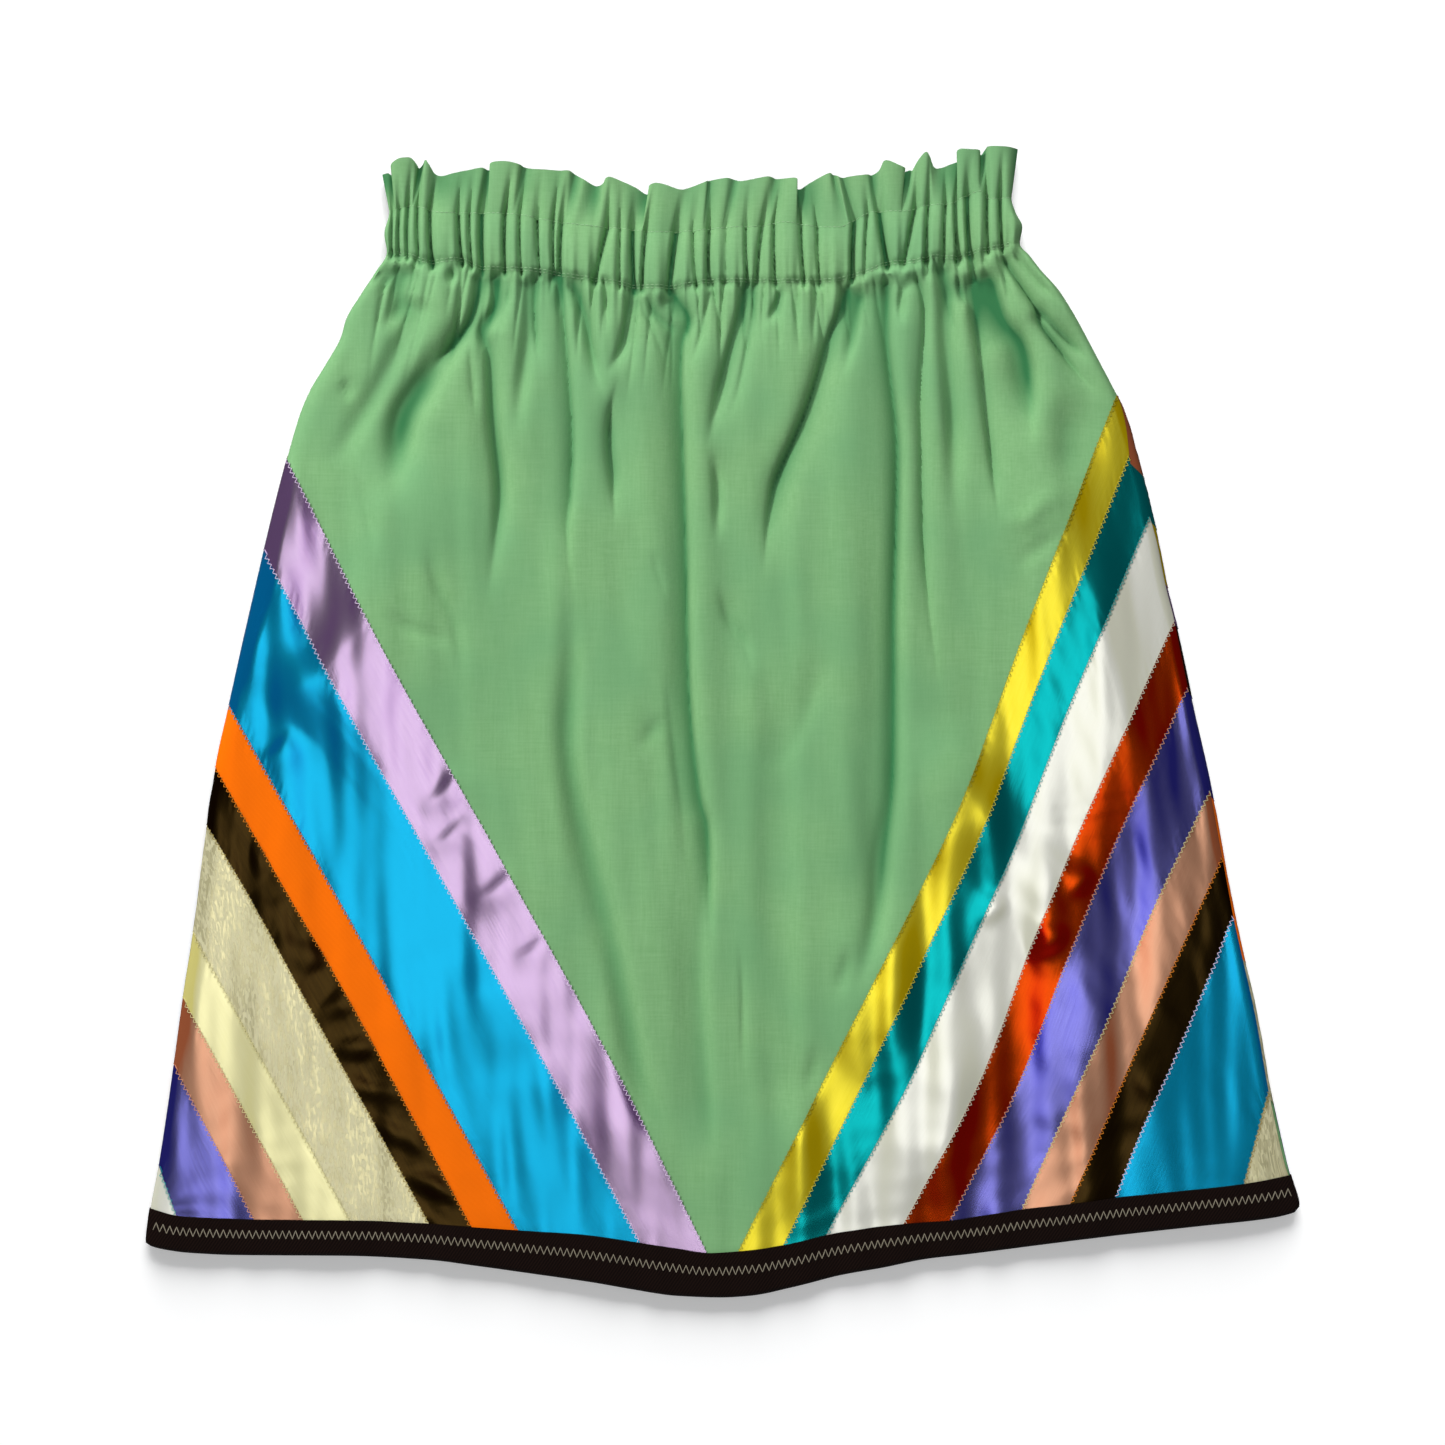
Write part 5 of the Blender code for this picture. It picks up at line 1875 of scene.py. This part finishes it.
@dataclass(frozen=True)
class Studio:
    """A white table, soft lights and a camera that looks straight down."""

    frame_width: float = 0.867
    focal_length: float = 85.0
    film: float = 36.0
    table_glow: float = 0.25
    wall_start: float = 0.5
    wall_full: float = 0.9
    wall_light: float = 0.7
    room_light: float = 0.09

    def build_floor(self) -> bpy.types.Object:
        """Makes the back-lit table top that the skirt lies on."""
        mesh = bpy.data.meshes.new("table_top")
        size = 4.0
        corners = [(-size, -size, 0), (size, -size, 0), (size, size, 0), (-size, size, 0)]
        mesh.from_pydata(corners, [], [(0, 1, 2, 3)])
        made, tree = new_material("painted_board_white")
        shader = add_node(
            tree,
            "BsdfPrincipled",
            {
                "Base Color": linear("F0F0F0"),
                "Roughness": 0.9,
                "Specular IOR Level": 0.1,
                "Emission Color": linear("FFFFFF"),
                "Emission Strength": self.table_glow,
            },
        )
        finish_tree(tree, shader)
        mesh.materials.append(made)
        floor = bpy.data.objects.new("table_top", mesh)
        bpy.context.collection.objects.link(floor)
        floor.visible_glossy = False
        floor.visible_diffuse = False
        return floor

    def add_light(
        self, name: str, place: tuple, size: float, power: float, mirrored: bool
    ) -> bpy.types.Object:
        """Adds a square soft light that points at the skirt's middle.

        Args:
            name: The light's name.
            place: Where it stands, in metres.
            size: Its width, in metres.
            power: Its power, in watts.
            mirrored: Whether glossy cloth shows its reflection.
        """
        data = bpy.data.lights.new(name, "AREA")
        data.size = size
        data.energy = power
        light = bpy.data.objects.new(name, data)
        light.location = place
        light.visible_glossy = mirrored
        light.rotation_euler = (-Vector(place)).to_track_quat("-Z", "Y").to_euler()
        bpy.context.collection.objects.link(light)
        return light

    def build_surroundings(self) -> bpy.types.World:
        """Makes a dark room with a pale wall in front and behind, for glossy cloth to reflect."""
        world = bpy.data.worlds.new("studio")
        world.use_nodes = True
        tree = world.node_tree
        place = add_node(tree, "TexCoord", {}).outputs["Generated"]
        depth = add_node(tree, "SeparateXYZ", {0: place}).outputs["Y"]
        ahead = add_node(tree, "Math", {0: depth}, operation="ABSOLUTE").outputs[0]
        strength = add_node(
            tree,
            "MapRange",
            {
                "Value": ahead,
                "From Min": self.wall_start,
                "From Max": self.wall_full,
                "To Min": self.room_light,
                "To Max": self.wall_light,
            },
        )
        room = tree.nodes["Background"]
        room.inputs["Color"].default_value = linear("F6F8FA")
        tree.links.new(strength.outputs[0], room.inputs["Strength"])
        return world

    def build(self) -> None:
        """Makes the floor, the lights, the surroundings and the camera."""
        floor = self.build_floor()
        unlit = bpy.data.collections.new("unlit_by_key")
        unlit.objects.link(floor)
        unlit.collection_objects[0].light_linking.link_state = "EXCLUDE"
        key = self.add_light("key_softbox", (-3.1, 1.7, 2.7), 0.7, 172.0, False)
        key.light_linking.receiver_collection = unlit
        self.add_light("overhead_softbox", (-0.14, -0.2, 2.6), 1.15, 7.7, True)
        low = self.add_light("low_softbox", (0.1, 4.2, 2.0), 1.0, 120.0, False)
        low.light_linking.receiver_collection = unlit
        table = bpy.data.collections.new("table_only")
        table.objects.link(floor)
        graze = self.add_light("table_softbox", (0.1, 9.0, 3.4), 6.4, 2000.0, False)
        graze.light_linking.receiver_collection = table
        bpy.context.scene.world = self.build_surroundings()
        bpy.context.scene.view_settings.view_transform = "Standard"
        data = bpy.data.cameras.new("overhead_camera")
        data.lens = self.focal_length
        data.sensor_width = self.film
        camera = bpy.data.objects.new("overhead_camera", data)
        height = self.frame_width * self.focal_length / self.film + 0.006
        camera.location = (0.0, 0.0, height)
        bpy.context.collection.objects.link(camera)
        bpy.context.scene.camera = camera


def back_creases() -> tuple[Crease, ...]:
    """Small folds of the back, spread unevenly below the waist and along its length."""
    draw = np.random.default_rng(23)
    found = []
    for place in np.linspace(-180.0, 160.0, 26):
        start = place + draw.uniform(-5.0, 5.0)
        fall = draw.uniform(50.0, 260.0)
        lean = start * draw.uniform(0.05, 0.3) * fall / 260.0
        top = 262.0 + draw.uniform(0.0, 6.0)
        path = (
            (start, top),
            (start + 0.4 * lean + draw.uniform(-3, 3), top - 0.5 * fall),
            (start + lean, top - fall),
        )
        depth = -draw.uniform(0.5, 1.4)
        width = draw.uniform(2.0, 6.5)
        found.append(Crease(depth, width, draw.uniform(1.8, 6.0), ROUND, path))
    place = -200.0
    while place < 174.0:
        high = (place, float(SkirtForm().upper_seam(place)) + 3.0)
        low = (place + draw.uniform(-4.0, 4.0), float(SkirtForm().lower_seam(place)) - 2.0)
        middle = (0.5 * (high[0] + low[0]) + draw.uniform(-1.0, 1.0), 0.5 * (high[1] + low[1]))
        width = draw.uniform(1.4, 2.8)
        found.append(Crease(-draw.uniform(0.5, 1.1), width, width, ROUND, (high, middle, low)))
        place += draw.uniform(5.0, 13.0)
    return tuple(found)


def fine_gathers() -> tuple[Crease, ...]:
    """Fine short creases under the casing's lower seam, which fan out a little to the sides."""
    draw = np.random.default_rng(41)
    found = []
    place = -198.0
    while place < 172.0:
        lean = 0.22 * (place + 12.0) / 180.0
        fall = draw.uniform(14.0, 90.0)
        low = place + (lean + draw.uniform(-0.12, 0.12)) * fall
        top = float(SkirtForm().lower_seam(place)) + 4.0
        middle = (0.5 * (place + low) + draw.uniform(-1.5, 1.5), top - 0.5 * fall)
        path = ((place, top), middle, (low, top - fall))
        width = draw.uniform(0.8, 1.7)
        depth = draw.uniform(0.5, 1.3)
        found.append(Crease(depth, width, 2.6 - width, SHARP, path, 5.0, 0.6))
        place += draw.uniform(4.0, 10.0)
    return tuple(found)


def main() -> None:
    """Builds the skirt on its frame."""
    logging.basicConfig(level=logging.INFO, format="%(message)s")
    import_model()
    form = SkirtForm(
        front_creases=PANEL_CREASES + fine_gathers() + SkirtForm().slit_creases(),
        back_creases=back_creases(),
    )
    cotton = Cotton().build()
    materials = {slot: finish.build() for slot, finish in FINISHES.items()}
    materials["dark_tape"] = Twill().build()
    materials["hem_thread"] = Thread("thread_grey_beige", "A79F8C", "6E6656").build()
    green_thread = Thread("thread_pale_green", "A9CDA0", "86B584").build()
    Body(form, Side.BACK, cotton, 260, 100).build()
    Body(form, Side.FRONT, cotton, 560, 164).build()
    Casing(form, Side.BACK, cotton, 400, 16).build()
    Casing(form, Side.FRONT, cotton).build()
    Ruffle(form, Side.BACK, cotton, back_lips(form)).build()
    Ruffle(form, Side.FRONT, cotton, FRONT_LIPS).build()
    bands = (
        RibbonBand(form, Side.BACK, True, BACK_LEFT, materials, 4.5),
        RibbonBand(form, Side.BACK, False, BACK_RIGHT, materials, 4.5),
        RibbonBand(form, Side.FRONT, True, FRONT_LEFT, materials, 2.0),
        RibbonBand(form, Side.FRONT, False, FRONT_RIGHT, materials, 2.0),
    )
    for band in bands:
        band.build()
    BorderStitches(bands).build()
    HemTape(form, materials).build()
    CasingStitches(form, green_thread).build()
    Studio().build()


if __name__ == "__main__":
    main()
